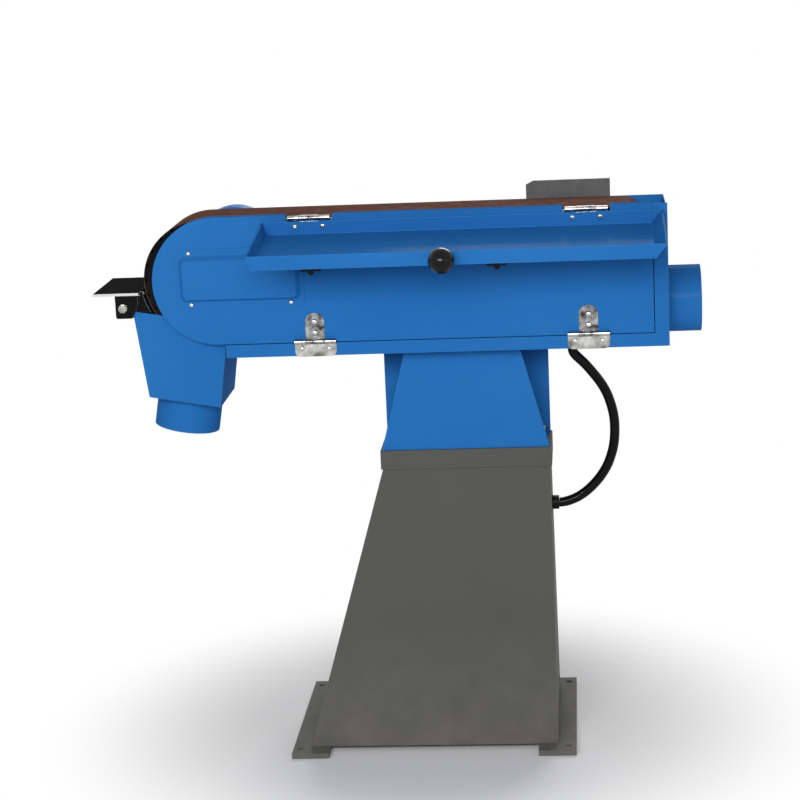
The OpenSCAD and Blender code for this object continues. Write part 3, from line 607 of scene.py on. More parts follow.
@dataclass(frozen=True)
class ClothFinish(Finish):
    """The woven back of the abrasive belt, drawn on the band's own UV map in metres.

    Attributes:
        threads: Radians of the weave in a metre.
        weave: Depth of the weave in metres.
    """

    threads: float = 2600.0
    weave: float = 0.00015

    def _shader(self, wiring: Wiring) -> bpy.types.Node:
        """Wire two crossed sets of threads to the shader.

        Args:
            wiring: Wiring of the material's tree.

        Returns:
            The shader node.
        """
        shader = Finish._shader(self, wiring)
        run = wiring.add("ShaderNodeUVMap", uv_map="run")
        parts = wiring.add("ShaderNodeSeparateXYZ", {0: run.outputs[0]})
        heights = []
        for axis in ("X", "Y"):
            along = wiring.maths("MULTIPLY", parts.outputs[axis], self.threads)
            heights.append(wiring.maths("SINE", along))
        weave = wiring.maths("MULTIPLY", *heights)
        self._bump(wiring, shader, weave, self.weave, strength=0.6)
        return shader


# Its lighter blue along the rounded edges is a painted highlight, not rubbed paint.
BLUE_PAINT = Finish("blue_paint", (0.018, 0.141, 0.425), (0.024, 0.163, 0.462), drift=0.9,
                    drift_scale=3.0, smooth=0.5, rough=0.6, gloss=0.0, coat=0.03, relief_scale=420,
                    relief=0.00003, rub_and_highlight=0.34, rubbed_and_highlit_to=(0.040, 0.235, 0.56), bares=False)
MOTOR_PAINT = Finish("motor_paint", (0.016, 0.135, 0.42), (0.014, 0.12, 0.38), drift=0.7,
                     smooth=0.45, rough=0.58, gloss=0.25, relief_scale=900, relief=0.00005)
# Its lighter grey along the rounded edges is a painted highlight, not rubbed paint.
GREY_PAINT = Finish("grey_paint", (0.098, 0.098, 0.093), (0.086, 0.086, 0.082), drift=0.8,
                    drift_scale=4.0, smooth=0.5, rough=0.6, gloss=0.06, relief_scale=700,
                    relief=0.00006, rub_and_highlight=0.2, rubbed_and_highlit_to=(0.15, 0.15, 0.145), bares=False,
                    dust=0.35)
BLACK_PAINT = Finish("black_paint", (0.0075, 0.0075, 0.008), (0.012, 0.012, 0.0125), drift=0.8,
                     smooth=0.62, rough=0.78, gloss=0.0, coat=0.02, relief_scale=800,
                     relief=0.00004, rub_and_highlight=0.42, rubbed_and_highlit_to=(0.5, 0.5, 0.5))
TABLE_PAINT = BareFaceFinish("table_paint", (0.0075, 0.0075, 0.008), (0.012, 0.012, 0.0125),
                             drift=0.8, smooth=0.62, rough=0.78, gloss=0.0, coat=0.02,
                             relief_scale=800, relief=0.00004, rub_and_highlight=0.42, rubbed_and_highlit_to=(0.5, 0.5, 0.5),
                             bare_y=head(0, 15, 0).y, bare_z=head(0, 0, -23.7).z)
# On the three zinc finishes the dark second colour is painted reflection: its patches stand in for
# dark surroundings mirrored in the metal. The strap zinc's lower base colour is painted reflection
# too.
BRIGHT_ZINC = Finish("bright_zinc", (0.72, 0.72, 0.71), (0.17, 0.16, 0.145), drift=1.0,
                     drift_scale=48.0, smooth=0.12, rough=0.28, metal=1.0,
                     relief_scale=110, relief=0.00018)
STRAP_ZINC = Finish("strap_zinc", (0.46, 0.46, 0.45), (0.045, 0.042, 0.038), drift=1.0,
                    drift_scale=85.0, smooth=0.16, rough=0.32, metal=1.0,
                    relief_scale=140, relief=0.00018)
HEAD_ZINC = Finish("head_zinc", (0.78, 0.78, 0.77), (0.30, 0.30, 0.29), drift=0.9,
                   drift_scale=260.0, smooth=0.2, rough=0.3, metal=1.0, relief_scale=400,
                   relief=0.00003)
TURNED_STEEL = Finish("turned_steel", (0.46, 0.46, 0.47), (0.36, 0.36, 0.37), drift=0.8,
                      drift_scale=25.0, smooth=0.24, rough=0.38, metal=1.0,
                      relief_scale=900, relief=0.00002, grain=Grain.TURNED_Y)
GROUND_STEEL = Finish("ground_steel", (0.44, 0.44, 0.45), (0.3, 0.3, 0.31), drift=0.9,
                      drift_scale=14.0, smooth=0.26, rough=0.42, metal=1.0,
                      relief_scale=1500, relief=0.00003, grain=Grain.ALONG_X)
DARK_STEEL = Finish("dark_steel", (0.055, 0.055, 0.057), (0.09, 0.09, 0.09), drift=0.9,
                    drift_scale=18.0, smooth=0.4, rough=0.6, metal=0.6,
                    relief_scale=500, relief=0.00004, rub_and_highlight=0.3, rubbed_and_highlit_to=(0.3, 0.3, 0.3))
CAST_ALLOY = Finish("cast_alloy", (0.52, 0.52, 0.53), (0.42, 0.42, 0.43), drift=0.8,
                    drift_scale=18.0, smooth=0.4, rough=0.55, metal=1.0,
                    relief_scale=700, relief=0.00012)
TYRE_RUBBER = Finish("tyre_rubber", (0.007, 0.007, 0.0075), (0.015, 0.014, 0.0135), drift=0.9,
                     drift_scale=20.0, smooth=0.7, rough=0.88, gloss=0.02, relief_scale=600,
                     relief=0.00015)
BALL_PLASTIC = Finish("ball_plastic", (0.004, 0.004, 0.0045), (0.006, 0.006, 0.006),
                      smooth=0.10, rough=0.16, gloss=0.16, relief_scale=120, relief=0.00001)
GRIP_PLASTIC = Finish("grip_plastic", (0.006, 0.006, 0.007), (0.010, 0.010, 0.010),
                      smooth=0.34, rough=0.46, gloss=0.12, relief_scale=900, relief=0.00004)
CABLE_PLASTIC = Finish("cable_plastic", (0.0025, 0.0025, 0.003), (0.004, 0.004, 0.004),
                       drift_scale=30.0, smooth=0.10, rough=0.15, gloss=0.10,
                       relief_scale=500, relief=0.00001)
BOX_PLASTIC = Finish("box_plastic", (0.18, 0.18, 0.178), (0.155, 0.155, 0.153), smooth=0.4,
                     rough=0.5, gloss=0.4, relief_scale=1200, relief=0.00004)
GREEN_PLASTIC = Finish("green_plastic", (0.02, 0.26, 0.06), (0.015, 0.22, 0.05),
                       smooth=0.2, rough=0.3, relief_scale=900, relief=0.00002)
RED_PLASTIC = Finish("red_plastic", (0.52, 0.012, 0.008), (0.44, 0.01, 0.007),
                     smooth=0.2, rough=0.3, relief_scale=900, relief=0.00002)
GRIT = AbrasiveFinish("grit", (0.15, 0.050, 0.026), (0.075, 0.028, 0.018), smooth=0.65,
                      rough=0.85, gloss=0.02)
BELT_CLOTH = ClothFinish("belt_cloth", (0.085, 0.052, 0.032), (0.055, 0.034, 0.022), smooth=0.75,
                         rough=0.9, gloss=0.2)

SLOT_FINISH: dict[Slot, Finish] = {
    Slot.PAINTED_BLUE: BLUE_PAINT, Slot.MOTOR_BLUE: MOTOR_PAINT,
    Slot.PAINTED_GREY: GREY_PAINT, Slot.PAINTED_BLACK: BLACK_PAINT, Slot.ZINC: BRIGHT_ZINC,
    Slot.STEEL: GROUND_STEEL, Slot.ALLOY: CAST_ALLOY, Slot.RUBBER_BLACK: TYRE_RUBBER,
    Slot.ABRASIVE: GRIT, Slot.KNOB_BLACK: GRIP_PLASTIC, Slot.CABLE_BLACK: CABLE_PLASTIC,
    Slot.PLASTIC_GREY: BOX_PLASTIC, Slot.BUTTON_GREEN: GREEN_PLASTIC,
    Slot.BUTTON_RED: RED_PLASTIC,
}


# --------------------------------------------------------------------------- mesh helpers


def placed(name: str, data: bpy.types.ID) -> bpy.types.Object:
    """Make an object and put it in the scene.

    Args:
        name: Name of the new object.
        data: Its mesh, curve, lamp or camera.

    Returns:
        The new object, at the origin.
    """
    piece = bpy.data.objects.new(name, data)
    bpy.context.scene.collection.objects.link(piece)
    return piece


def make_object(name: str, mesh: bmesh.types.BMesh, smooth: bool = True) -> bpy.types.Object:
    """Turn a bmesh into an object of the scene.

    Args:
        name: Name of the new object.
        mesh: The bmesh, which is freed.
        smooth: Whether its faces are shaded smooth where they meet at a small angle.

    Returns:
        The new object, at the origin.
    """
    data = bpy.data.meshes.new(name)
    mesh.to_mesh(data)
    mesh.free()
    if smooth:
        data.shade_smooth()
        data.set_sharp_from_angle(angle=SHARP)
    return placed(name, data)


def evaluate(piece: bpy.types.Object) -> None:
    """Turn a piece's live modifiers into plain mesh and take them off.

    Args:
        piece: The piece.
    """
    graph = bpy.context.evaluated_depsgraph_get()
    data = bpy.data.meshes.new_from_object(piece.evaluated_get(graph), depsgraph=graph)
    piece.modifiers.clear()
    old = piece.data
    piece.data = data
    if isinstance(old, bpy.types.Mesh) and old.users == 0:
        bpy.data.meshes.remove(old)


def paint(piece: bpy.types.Object, finish: Finish) -> None:
    """Give a piece one finish in every material slot that it has.

    Args:
        piece: The piece.
        finish: The finish.
    """
    material = finish.material()
    if not piece.data.materials:
        piece.data.materials.append(material)
    for slot in piece.material_slots:
        slot.material = material


def circle(sides: int) -> Outline:
    """Give the corners of a regular polygon with a radius of 1.

    Args:
        sides: Number of corners.

    Returns:
        X and Y of each corner, from the X axis round.
    """
    return [(math.cos(2 * math.pi * k / sides), math.sin(2 * math.pi * k / sides))
            for k in range(sides)]


def wall(mesh: bmesh.types.BMesh, rings: list[list[bmesh.types.BMVert]]) -> None:
    """Draw faces between each ring of corners and the next.

    Args:
        mesh: The bmesh that holds them.
        rings: Corners of each ring, with equal counts.
    """
    count = len(rings[0])
    for low, high in zip(rings, rings[1:]):
        for k in range(count):
            n = (k + 1) % count
            mesh.faces.new((low[k], low[n], high[n], high[k]))


def closed(name: str, mesh: bmesh.types.BMesh,
           rings: list[list[bmesh.types.BMVert]]) -> bpy.types.Object:
    """Join rings of corners into a closed solid.

    Args:
        name: Name of the new object.
        mesh: The bmesh that holds them, which is freed.
        rings: Corners of each ring, with equal counts.

    Returns:
        The new object.
    """
    wall(mesh, rings)
    mesh.faces.new(list(reversed(rings[0])))
    mesh.faces.new(rings[-1])
    bmesh.ops.remove_doubles(mesh, verts=mesh.verts, dist=SAME_CORNER)
    bmesh.ops.recalc_face_normals(mesh, faces=mesh.faces)
    return make_object(name, mesh)


def lofted(name: str, outlines: list[tuple[float, Outline]], place: Vector,
           axis: Vector) -> bpy.types.Object:
    """Join outlines stacked along an axis into a closed solid.

    Args:
        name: Name of the new object.
        outlines: Height and outline points in metres of each level, with equal counts.
        place: Where height 0 lies.
        axis: Direction of growing height.

    Returns:
        The new object.
    """
    frame_turn = axis.normalized().to_track_quat("Z", "Y").to_matrix()
    mesh = bmesh.new()
    rings = [[mesh.verts.new(place + frame_turn @ Vector((u, v, height))) for u, v in points]
             for height, points in outlines]
    return closed(name, mesh, rings)


def turned(name: str, profile: Outline, place: Vector, axis: Vector,
           sides: int) -> bpy.types.Object:
    """Turn a profile round an axis into a closed solid.

    Args:
        name: Name of the new object.
        profile: Radius and height of each point in millimetres, from one end to the other.
        place: Where height 0 lies.
        axis: Direction of growing height.
        sides: Faces round the axis.

    Returns:
        The new object.
    """
    outlines = [(height * MM, [(radius * MM * c, radius * MM * s) for c, s in circle(sides)])
                for radius, height in profile]
    return lofted(name, outlines, place, axis)


# --------------------------------------------------------------------------- geometry nodes


class GrowthTrees(TreeShelf):
    """Geometry Nodes trees for what repeats."""

    kind = "GeometryNodeTree"

    @classmethod
    def makers(cls) -> dict[str, Callable[[], bpy.types.NodeTree]]:
        """Give what builds each tree, by the tree's name."""
        return {"fasteners": cls._fasteners, "weld_bead": cls._weld_bead,
                "ribs_round": cls._ribs_round}

    @classmethod
    def apply(cls, piece: bpy.types.Object, name: str, values: dict[str, object]) -> None:
        """Run a tree on a piece and keep the result as plain mesh.

        Args:
            piece: The piece whose mesh feeds the tree.
            name: Name of the tree.
            values: Values of its named inputs.
        """
        tree = cls.fetch(name)
        modifier = piece.modifiers.new(name, "NODES")
        modifier.node_group = tree
        for item in tree.interface.items_tree:
            if item.item_type == "SOCKET" and item.in_out == "INPUT" and item.name in values:
                modifier[item.identifier] = values[item.name]
        evaluate(piece)

    @classmethod
    def _grower(cls, name: str,
                inputs: Sockets) -> tuple[Wiring, bpy.types.bpy_prop_collection]:
        """Make an empty tree that takes and gives geometry.

        Args:
            name: Name of the tree.
            inputs: Name, socket type and first value of each further input.

        Returns:
            The wiring of the new tree, and what it is given, by name.
        """
        geometry = ("Geometry", GEOMETRY, None)
        wiring = cls.start(name, [geometry, *inputs, ("Material", MATERIAL, None)], [geometry])
        return wiring, wiring.add("NodeGroupInput").outputs

    @staticmethod
    def _aim(wiring: Wiring) -> bpy.types.NodeSocket:
        """Read the way that each point faces."""
        return wiring.add("GeometryNodeInputNamedAttribute", {"Name": "aim"},
                          data_type="FLOAT_VECTOR").outputs[0]

    @staticmethod
    def _end(wiring: Wiring, material: bpy.types.NodeSocket,
             inputs: dict[str | int, object]) -> bpy.types.NodeTree:
        """Close a tree: instances on points, Realize Instances and Set Material.

        Args:
            wiring: Wiring of the tree.
            material: The material that the instances take.
            inputs: Inputs of Instance on Points.

        Returns:
            The finished tree.
        """
        spread = wiring.add("GeometryNodeInstanceOnPoints", inputs)
        real = wiring.add("GeometryNodeRealizeInstances", {0: spread.outputs[0]})
        dressed = wiring.add("GeometryNodeSetMaterial", {"Geometry": real.outputs[0],
                                                         "Material": material})
        wiring.add("NodeGroupOutput", {"Geometry": dressed.outputs[0]})
        return wiring.tree

    @classmethod
    def _fasteners(cls) -> bpy.types.NodeTree:
        """Build the tree that sets a fastener's head on each point, facing its aim.

        Returns:
            The finished tree.
        """
        wiring, given = cls._grower("fasteners", [
            ("Head", "NodeSocketObject", None), ("Size", FLOAT, 1.0),
            ("Turn seed", "NodeSocketInt", 3)])
        shape = wiring.add("GeometryNodeObjectInfo", {"Object": given["Head"]})
        facing = wiring.add("FunctionNodeAlignRotationToVector",
                            {"Vector": cls._aim(wiring)}, axis="Z")
        angle = wiring.add("FunctionNodeRandomValue", {
            2: 0.0, 3: 2 * math.pi, "Seed": given["Turn seed"]}, data_type="FLOAT")
        spin = wiring.add("ShaderNodeCombineXYZ", {"Z": angle.outputs[1]})
        turn = wiring.add("FunctionNodeEulerToRotation", {0: spin.outputs[0]})
        both = wiring.add("FunctionNodeRotateRotation", {
            "Rotation": facing.outputs[0], "Rotate By": turn.outputs[0]},
            rotation_space="LOCAL")
        return cls._end(wiring, given["Material"], {
            "Points": given["Geometry"], "Instance": shape.outputs["Geometry"],
            "Rotation": both.outputs[0], "Scale": given["Size"]})

    @classmethod
    def _weld_bead(cls) -> bpy.types.NodeTree:
        """Build the tree that lays overlapping ripples of weld along a line.

        Returns:
            The finished tree.
        """
        wiring, given = cls._grower("weld_bead", [
            ("Pitch", FLOAT, 0.0022), ("Width", FLOAT, 0.005), ("Seed", "NodeSocketInt", 11)])
        line = wiring.add("GeometryNodeMeshToCurve", {"Mesh": given["Geometry"]})
        steps = wiring.add("GeometryNodeResampleCurve", {
            "Curve": line.outputs[0], "Length": given["Pitch"]}, mode="LENGTH")
        tangent = wiring.add("GeometryNodeInputTangent")
        facing = wiring.add("FunctionNodeAlignRotationToVector",
                            {"Vector": tangent.outputs[0]}, axis="X")
        ripple = wiring.add("GeometryNodeMeshUVSphere", {"Segments": 10, "Rings": 6,
                                                         "Radius": 0.5})
        shaped = wiring.add("GeometryNodeTransform", {
            "Geometry": ripple.outputs[0], "Scale": (0.75, 1.0, 0.9)})
        smooth = wiring.add("GeometryNodeSetShadeSmooth", {"Geometry": shaped.outputs[0]})
        uneven = wiring.add("FunctionNodeRandomValue", {
            2: 0.82, 3: 1.12, "Seed": given["Seed"]}, data_type="FLOAT")
        size = wiring.maths("MULTIPLY", uneven.outputs[1], given["Width"])
        return cls._end(wiring, given["Material"], {
            "Points": steps.outputs[0], "Instance": smooth.outputs[0],
            "Rotation": facing.outputs[0], "Scale": size})

    @classmethod
    def _ribs_round(cls) -> bpy.types.NodeTree:
        """Build the tree that stands a rib on each point, facing its aim, along one way.

        Returns:
            The finished tree.
        """
        wiring, given = cls._grower("ribs_round", [
            ("Rib", "NodeSocketObject", None), ("Along", VECTOR, (0.0, 1.0, 0.0))])
        shape = wiring.add("GeometryNodeObjectInfo", {"Object": given["Rib"]})
        facing = wiring.add("FunctionNodeAxesToRotation", {
            "Primary Axis": given["Along"], "Secondary Axis": cls._aim(wiring)},
            primary_axis="Y", secondary_axis="Z")
        return cls._end(wiring, given["Material"], {
            "Points": given["Geometry"], "Instance": shape.outputs["Geometry"],
            "Rotation": facing.outputs[0]})


def loose_piece(name: str, points: list[Vector],
                edges: Iterable[tuple[int, int]] = ()) -> bpy.types.Object:
    """Make an object of loose points and edges.

    Args:
        name: Name of the new object.
        points: The points in metres.
        edges: Pairs of points that an edge joins.

    Returns:
        The new object.
    """
    data = bpy.data.meshes.new(name)
    data.from_pydata([tuple(p) for p in points], list(edges), [])
    return placed(name, data)


def point_piece(name: str, places: list[Vector], aims: list[Vector]) -> bpy.types.Object:
    """Make an object of loose points that carry the way they face.

    Args:
        name: Name of the new object.
        places: The points in metres.
        aims: Direction of each point.

    Returns:
        The new object.
    """
    piece = loose_piece(name, places)
    attribute = piece.data.attributes.new("aim", "FLOAT_VECTOR", "POINT")
    attribute.data.foreach_set("vector", [c for a in aims for c in a.normalized()])
    return piece


def line_piece(name: str, lines: list[list[Vector]]) -> bpy.types.Object:
    """Make an object of loose edges, one chain for each line.

    Args:
        name: Name of the new object.
        lines: Points of each chain in metres.

    Returns:
        The new object.
    """
    points: list[Vector] = []
    edges: list[tuple[int, int]] = []
    for line in lines:
        start = len(points)
        points += line
        edges += [(start + k, start + k + 1) for k in range(len(line) - 1)]
    return loose_piece(name, points, edges)


class HeadShape(Enum):
    """The fasteners' heads that are set by Geometry Nodes, with a radius of one millimetre."""

    RIVET = "rivet"
    SCREW = "screw"
    HEX = "hex"

    def build(self) -> bpy.types.Object:
        """Build the head, standing on its own origin along +Z.

        Returns:
            A scratch object, which is removed after use.
        """
        if self is HeadShape.RIVET:
            dome = [(1.0, 0.0), (1.0, 0.12), (0.9, 0.36), (0.66, 0.56), (0.34, 0.68), (0.02, 0.7)]
            return turned("head_rivet", dome, Vector(), Vector((0, 0, 1)), sides=20)
        if self is HeadShape.SCREW:
            return self._screw()
        levels = [(h * MM, [(r * MM * c, r * MM * s) for c, s in circle(24)])
                  for r, h in ((1.08, 0.0), (1.08, 0.1), (0.9, 0.14))]
        half = math.pi / 6
        flats = [math.cos(half) / math.cos(2 * math.pi * k / 24 % (2 * half) - half)
                 for k in range(24)]
        for r, h in ((0.86, 0.15), (0.86, 0.62), (0.78, 0.7)):
            levels.append((h * MM, [(r * MM * flat * c, r * MM * flat * s)
                                    for flat, (c, s) in zip(flats, circle(24))]))
        return lofted("head_hex", levels, Vector(), Vector((0, 0, 1)))

    def _screw(self) -> bpy.types.Object:
        """Build a low pan head with a sunk cross.

        Returns:
            The scratch object.
        """
        mesh = bmesh.new()
        sides, arm, half = 24, 0.62, 0.13
        levels = [(1.0, 0.0), (1.0, 0.22), (0.92, 0.42), (0.78, 0.52)]
        rings = [[mesh.verts.new((r * MM * c, r * MM * s, h * MM)) for c, s in circle(sides)]
                 for r, h in levels]
        cross = [(half, half), (half, arm), (-half, arm), (-half, half), (-arm, half),
                 (-arm, -half), (-half, -half), (-half, -arm), (half, -arm), (half, -half),
                 (arm, -half), (arm, half)]
        top = [mesh.verts.new((x * MM, y * MM, 0.55 * MM)) for x, y in cross]
        low = [mesh.verts.new((x * 0.8 * MM, y * 0.8 * MM, 0.2 * MM)) for x, y in cross]
        mesh.faces.new(list(reversed(rings[0])))
        wall(mesh, rings)
        wall(mesh, [top, low])
        mesh.faces.new(low)
        rims = [mesh.edges.get((ring[k], ring[(k + 1) % len(ring)]))
                for ring in (rings[-1], top) for k in range(len(ring))]
        bmesh.ops.bridge_loops(mesh, edges=rims)
        bmesh.ops.recalc_face_normals(mesh, faces=mesh.faces)
        return make_object("head_screw", mesh)


# --------------------------------------------------------------------------- sub-assemblies


@dataclass
class SubAssembly:
    """A group of pieces that are made together.

    Attributes:
        made: Names of the pieces that it has made, in order.
    """

    made: list[str] = field(default_factory=list)

    def keep(self, piece: bpy.types.Object, body: str, slot: Slot, finish: Finish | None = None,
             stands_for: tuple[str, ...] = ()) -> bpy.types.Object:
        """Paint a new piece, put it on its body and note it.

        Args:
            piece: The piece, in place.
            body: The CAD body that it moves with.
            slot: The record's finish that it takes.
            finish: The finish, where it isn't the slot's usual one.
            stands_for: CAD nodes that it replaces.

        Returns:
            The piece.
        """
        paint(piece, finish or SLOT_FINISH[slot])
        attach(piece, body)
        if stands_for:
            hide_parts(*stands_for)
        self.made.append(piece.name)
        return piece

    def soften_each(self, body: str, slot: Slot, widths: dict[str, float],
                    finish: Finish | None = None, segments: int = 3) -> None:
        """Round off several CAD nodes of one body and one slot.

        Args:
            body: The CAD body that they move with.
            slot: The record's finish that they take.
            widths: Width of the rounding in millimetres, by CAD node.
            finish: The finish, where it isn't the slot's usual one.
            segments: Faces across the rounding.
        """
        for node, width in widths.items():
            self.soften(node, body, slot, width, finish, segments)

    def soften(self, node: str, body: str, slot: Slot, width: float,
               finish: Finish | None = None, segments: int = 3) -> bpy.types.Object:
        """Stand a copy of a CAD node in its place, with its sharp edges rounded off.

        Args:
            node: The CAD node.
            body: The CAD body that it moves with.
            slot: The record's finish that it takes.
            width: Width of the rounding in millimetres.
            finish: The finish, where it isn't the slot's usual one.
            segments: Faces across the rounding.

        Returns:
            The new piece.
        """
        skin = sum(face.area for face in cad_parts[node].data.polygons)
        tries: list[tuple[float, int, bpy.types.Object]] = []
        for faces in Faces:
            copy = self._rounded(node, width, segments, faces)
            tries.append((self._fold(copy, skin), len(tries), copy))
            if tries[-1][0] < FOLD_ALLOWED:
                break
        if len(tries) > 1:
            log.info("%s: folds of %s m by kind of face", node, [round(t[0], 4) for t in tries])
        piece = min(tries)[2]
        for _, _, spare in tries:
            if spare is not piece:
                bpy.data.objects.remove(spare)
        piece.name = f"{node}_shell"
        self._mark_edges(piece)
        piece.data.shade_smooth()
        weighted = piece.modifiers.new("flat_faces", "WEIGHTED_NORMAL")
        weighted.keep_sharp = True
        weighted.weight = 100
        piece.data.set_sharp_from_angle(angle=SHARP_COPY)
        evaluate(piece)
        piece.data.materials.clear()
        return self.keep(piece, body, slot, finish, (node,))

    @staticmethod
    def _fold(piece: bpy.types.Object, skin: float) -> float:
        """Measure how far a rounded copy's faces lie back on each other.

        Args:
            piece: The rounded copy.
            skin: Area of the CAD node in square metres.

        Returns:
            The longest edge at which two triangles lie back to back in metres, or 1 where a
            face is drawn across an opening.
        """
        mesh = bmesh.new()
        mesh.from_mesh(piece.data)
        bmesh.ops.triangulate(mesh, faces=mesh.faces)
        longest = max((edge.calc_length() for edge in mesh.edges
                       if len(edge.link_faces) == 2
                       and edge.link_faces[0].normal.dot(edge.link_faces[1].normal) < BACK_TO_BACK),
                      default=0.0)
        area = sum(face.calc_area() for face in mesh.faces)
        mesh.free()
        return longest if area < skin * GROWTH_ALLOWED else 1.0

    @staticmethod
    def _rounded(node: str, width: float, segments: int, faces: Faces) -> bpy.types.Object:
        """Copy a CAD node and round its sharp edges.

        Args:
            node: The CAD node.
            width: Width of the rounding in millimetres.
            segments: Faces across the rounding.
            faces: How its flat faces are divided first.

        Returns:
            The copy.
        """
        mesh = bmesh.new()
        mesh.from_mesh(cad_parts[node].data)
        bmesh.ops.remove_doubles(mesh, verts=mesh.verts, dist=SAME_CAD_CORNER)
        bmesh.ops.dissolve_degenerate(mesh, edges=mesh.edges, dist=SHORTEST_EDGE)
        if faces is not Faces.AS_GIVEN:
            bmesh.ops.dissolve_limit(mesh, angle_limit=SAME_PLANE, verts=mesh.verts,
                                     edges=mesh.edges)
        if faces is Faces.EVEN_TRIANGLES:
            bmesh.ops.triangulate(mesh, faces=mesh.faces, ngon_method="BEAUTY")
        for layer in list(mesh.loops.layers.uv):
            mesh.loops.layers.uv.remove(layer)
        piece = make_object(f"{node}_shell", mesh, smooth=False)
        piece.data.materials.clear()
        for _ in range(2):
            piece.data.materials.append(None)
        piece.data.polygons.foreach_set("material_index", [0] * len(piece.data.polygons))
        bevel = piece.modifiers.new("rounding", "BEVEL")
        bevel.width = width * MM
        bevel.segments = segments
        bevel.limit_method = "ANGLE"
        bevel.angle_limit = ROUNDED_FROM
        bevel.miter_outer = "MITER_ARC"
        bevel.use_clamp_overlap = True
        bevel.harden_normals = False
        bevel.material = 1
        evaluate(piece)
        return piece

    @staticmethod
    def _mark_edges(piece: bpy.types.Object) -> None:
        """Write which points lie inside a rounded edge to the edge attribute.

        Args:
            piece: The rounded copy, whose rounding has the second material number.
        """
        data = piece.data
        flat = [False] * len(data.vertices)
        rounded = [False] * len(data.vertices)
        for face in data.polygons:
            for v in face.vertices:
                if face.material_index == 1:
                    rounded[v] = True
                else:
                    flat[v] = True
        attribute = data.attributes.new("edge", "FLOAT", "POINT")
        attribute.data.foreach_set(
            "value", [1.0 if r and not f else 0.0 for r, f in zip(rounded, flat)])
        data.polygons.foreach_set("material_index", [0] * len(data.polygons))

    def fasten(self, name: str, shape: HeadShape, places: list[Vector], aim: Vector,
               radius: float, body: str, slot: Slot = Slot.ZINC, finish: Finish | None = None,
               stands_for: tuple[str, ...] = ()) -> bpy.types.Object:
        """Set a row of equal fastener heads.

        Args:
            name: Name of the piece.
            shape: Shape of the heads.
            places: Where they stand, in metres.
            aim: Which way they face.
            radius: Radius of a head in millimetres.
            body: The CAD body that they move with.
            slot: The record's finish that they take.
            finish: The finish, where it isn't the slot's usual one.
            stands_for: CAD nodes that they replace.

        Returns:
            The new piece.
        """
        piece = point_piece(name, places, [aim] * len(places))
        template = shape.build()
        GrowthTrees.apply(piece, "fasteners", {
            "Head": template, "Size": radius, "Turn seed": len(places),
            "Material": (finish or SLOT_FINISH[slot]).material()})
        bpy.data.objects.remove(template)
        piece.data.set_sharp_from_angle(angle=SHARP)
        return self.keep(piece, body, slot, finish, stands_for)

    def weld(self, name: str, lines: list[list[Vector]], body: str, slot: Slot,
             width: float = 4.5, pitch: float = 2.2) -> bpy.types.Object:
        """Lay a painted weld bead along each line.

        Args:
            name: Name of the piece.
            lines: The lines in metres.
            body: The CAD body that it moves with.
            slot: The record's finish that it takes.
            width: Width of the bead in millimetres.
            pitch: Distance between its ripples in millimetres.

        Returns:
            The new piece.
        """
        piece = line_piece(name, lines)
        GrowthTrees.apply(piece, "weld_bead", {
            "Pitch": pitch * MM, "Width": width * MM, "Seed": len(lines),
            "Material": SLOT_FINISH[slot].material()})
        return self.keep(piece, body, slot)

    def build(self) -> None:
        """Build every piece of the group."""
        raise NotImplementedError


@dataclass
class Stand(SubAssembly):
    """The grey stand: column, cap and floor rails.

    Attributes:
        edge: Rounding of the folded sheet in millimetres.
        half_w: Half the width of the column's foot in metres.
        rail_top: Height of the floor rails in metres.
        seam: Where a weld starts and ends, from the middle of the foot's depth.
    """

    edge: float = 0.9
    half_w: float = 0.234
    rail_top: float = 0.010
    seam: tuple[float, float] = (0.12, 0.04)

    def build(self) -> None:
        """Build the stand."""
        self.soften_each("frame", Slot.PAINTED_GREY, {
            "stand_column": self.edge, "stand_cap": self.edge, "foot_rails": 1.2})
        lines = [[Vector((side * (self.half_w + 0.0005), end * y, self.rail_top))
                  for y in self.seam] for side in (-1, 1) for end in (-1, 1)]
        self.weld("foot_welds", lines, "frame", Slot.PAINTED_GREY)


@dataclass
class Pedestal(SubAssembly):
    """The blue pedestal between the stand and the head.

    Attributes:
        mid_x: Middle of the pedestal in metres.
        front_y: Front of its front plate in metres.
        low_z: Top of the stand in metres.
        top_z: Underside of the head in metres.
        depth: Depth over its plates in metres.
        plate: Thickness of its plates in metres.
        web_x: Welded side of its webs, from the middle, in metres.
        foot_seams: Where the rear welds of its foot start, from the middle, in metres.
    """

    mid_x: float = 0.0805
    front_y: float = -0.165
    low_z: float = 0.584
    top_z: float = 0.775
    depth: float = 0.126
    plate: float = 0.006
    web_x: float = 0.094
    foot_seams: tuple[float, ...] = (-0.12, -0.02, 0.08)

    def build(self) -> None:
        """Build the pedestal with its bolts and welds."""
        self.soften_each("frame", Slot.PAINTED_BLUE, dict.fromkeys(
            ("pedestal_front", "pedestal_rear", "pedestal_webs", "pedestal_foot"), 1.0))
        self.soften("pedestal_bolts", "frame", Slot.ZINC, 0.6, segments=2)
        back = self.front_y + self.depth
        lines = []
        for side in (-1, 1):
            x = self.mid_x + side * self.web_x
            for y in (self.front_y + self.plate, back - self.plate):
                for low, high in ((self.low_z + 0.02, self.low_z + 0.05),
                                  (self.top_z - 0.06, self.top_z - 0.02)):
                    lines.append([Vector((x, y, low)), Vector((x, y, high))])
        for start in self.foot_seams:
            lines.append([Vector((self.mid_x + start + run, back, self.low_z + 0.0005))
                          for run in (0.0, 0.035)])
        self.weld("pedestal_welds", lines, "frame", Slot.PAINTED_BLUE)


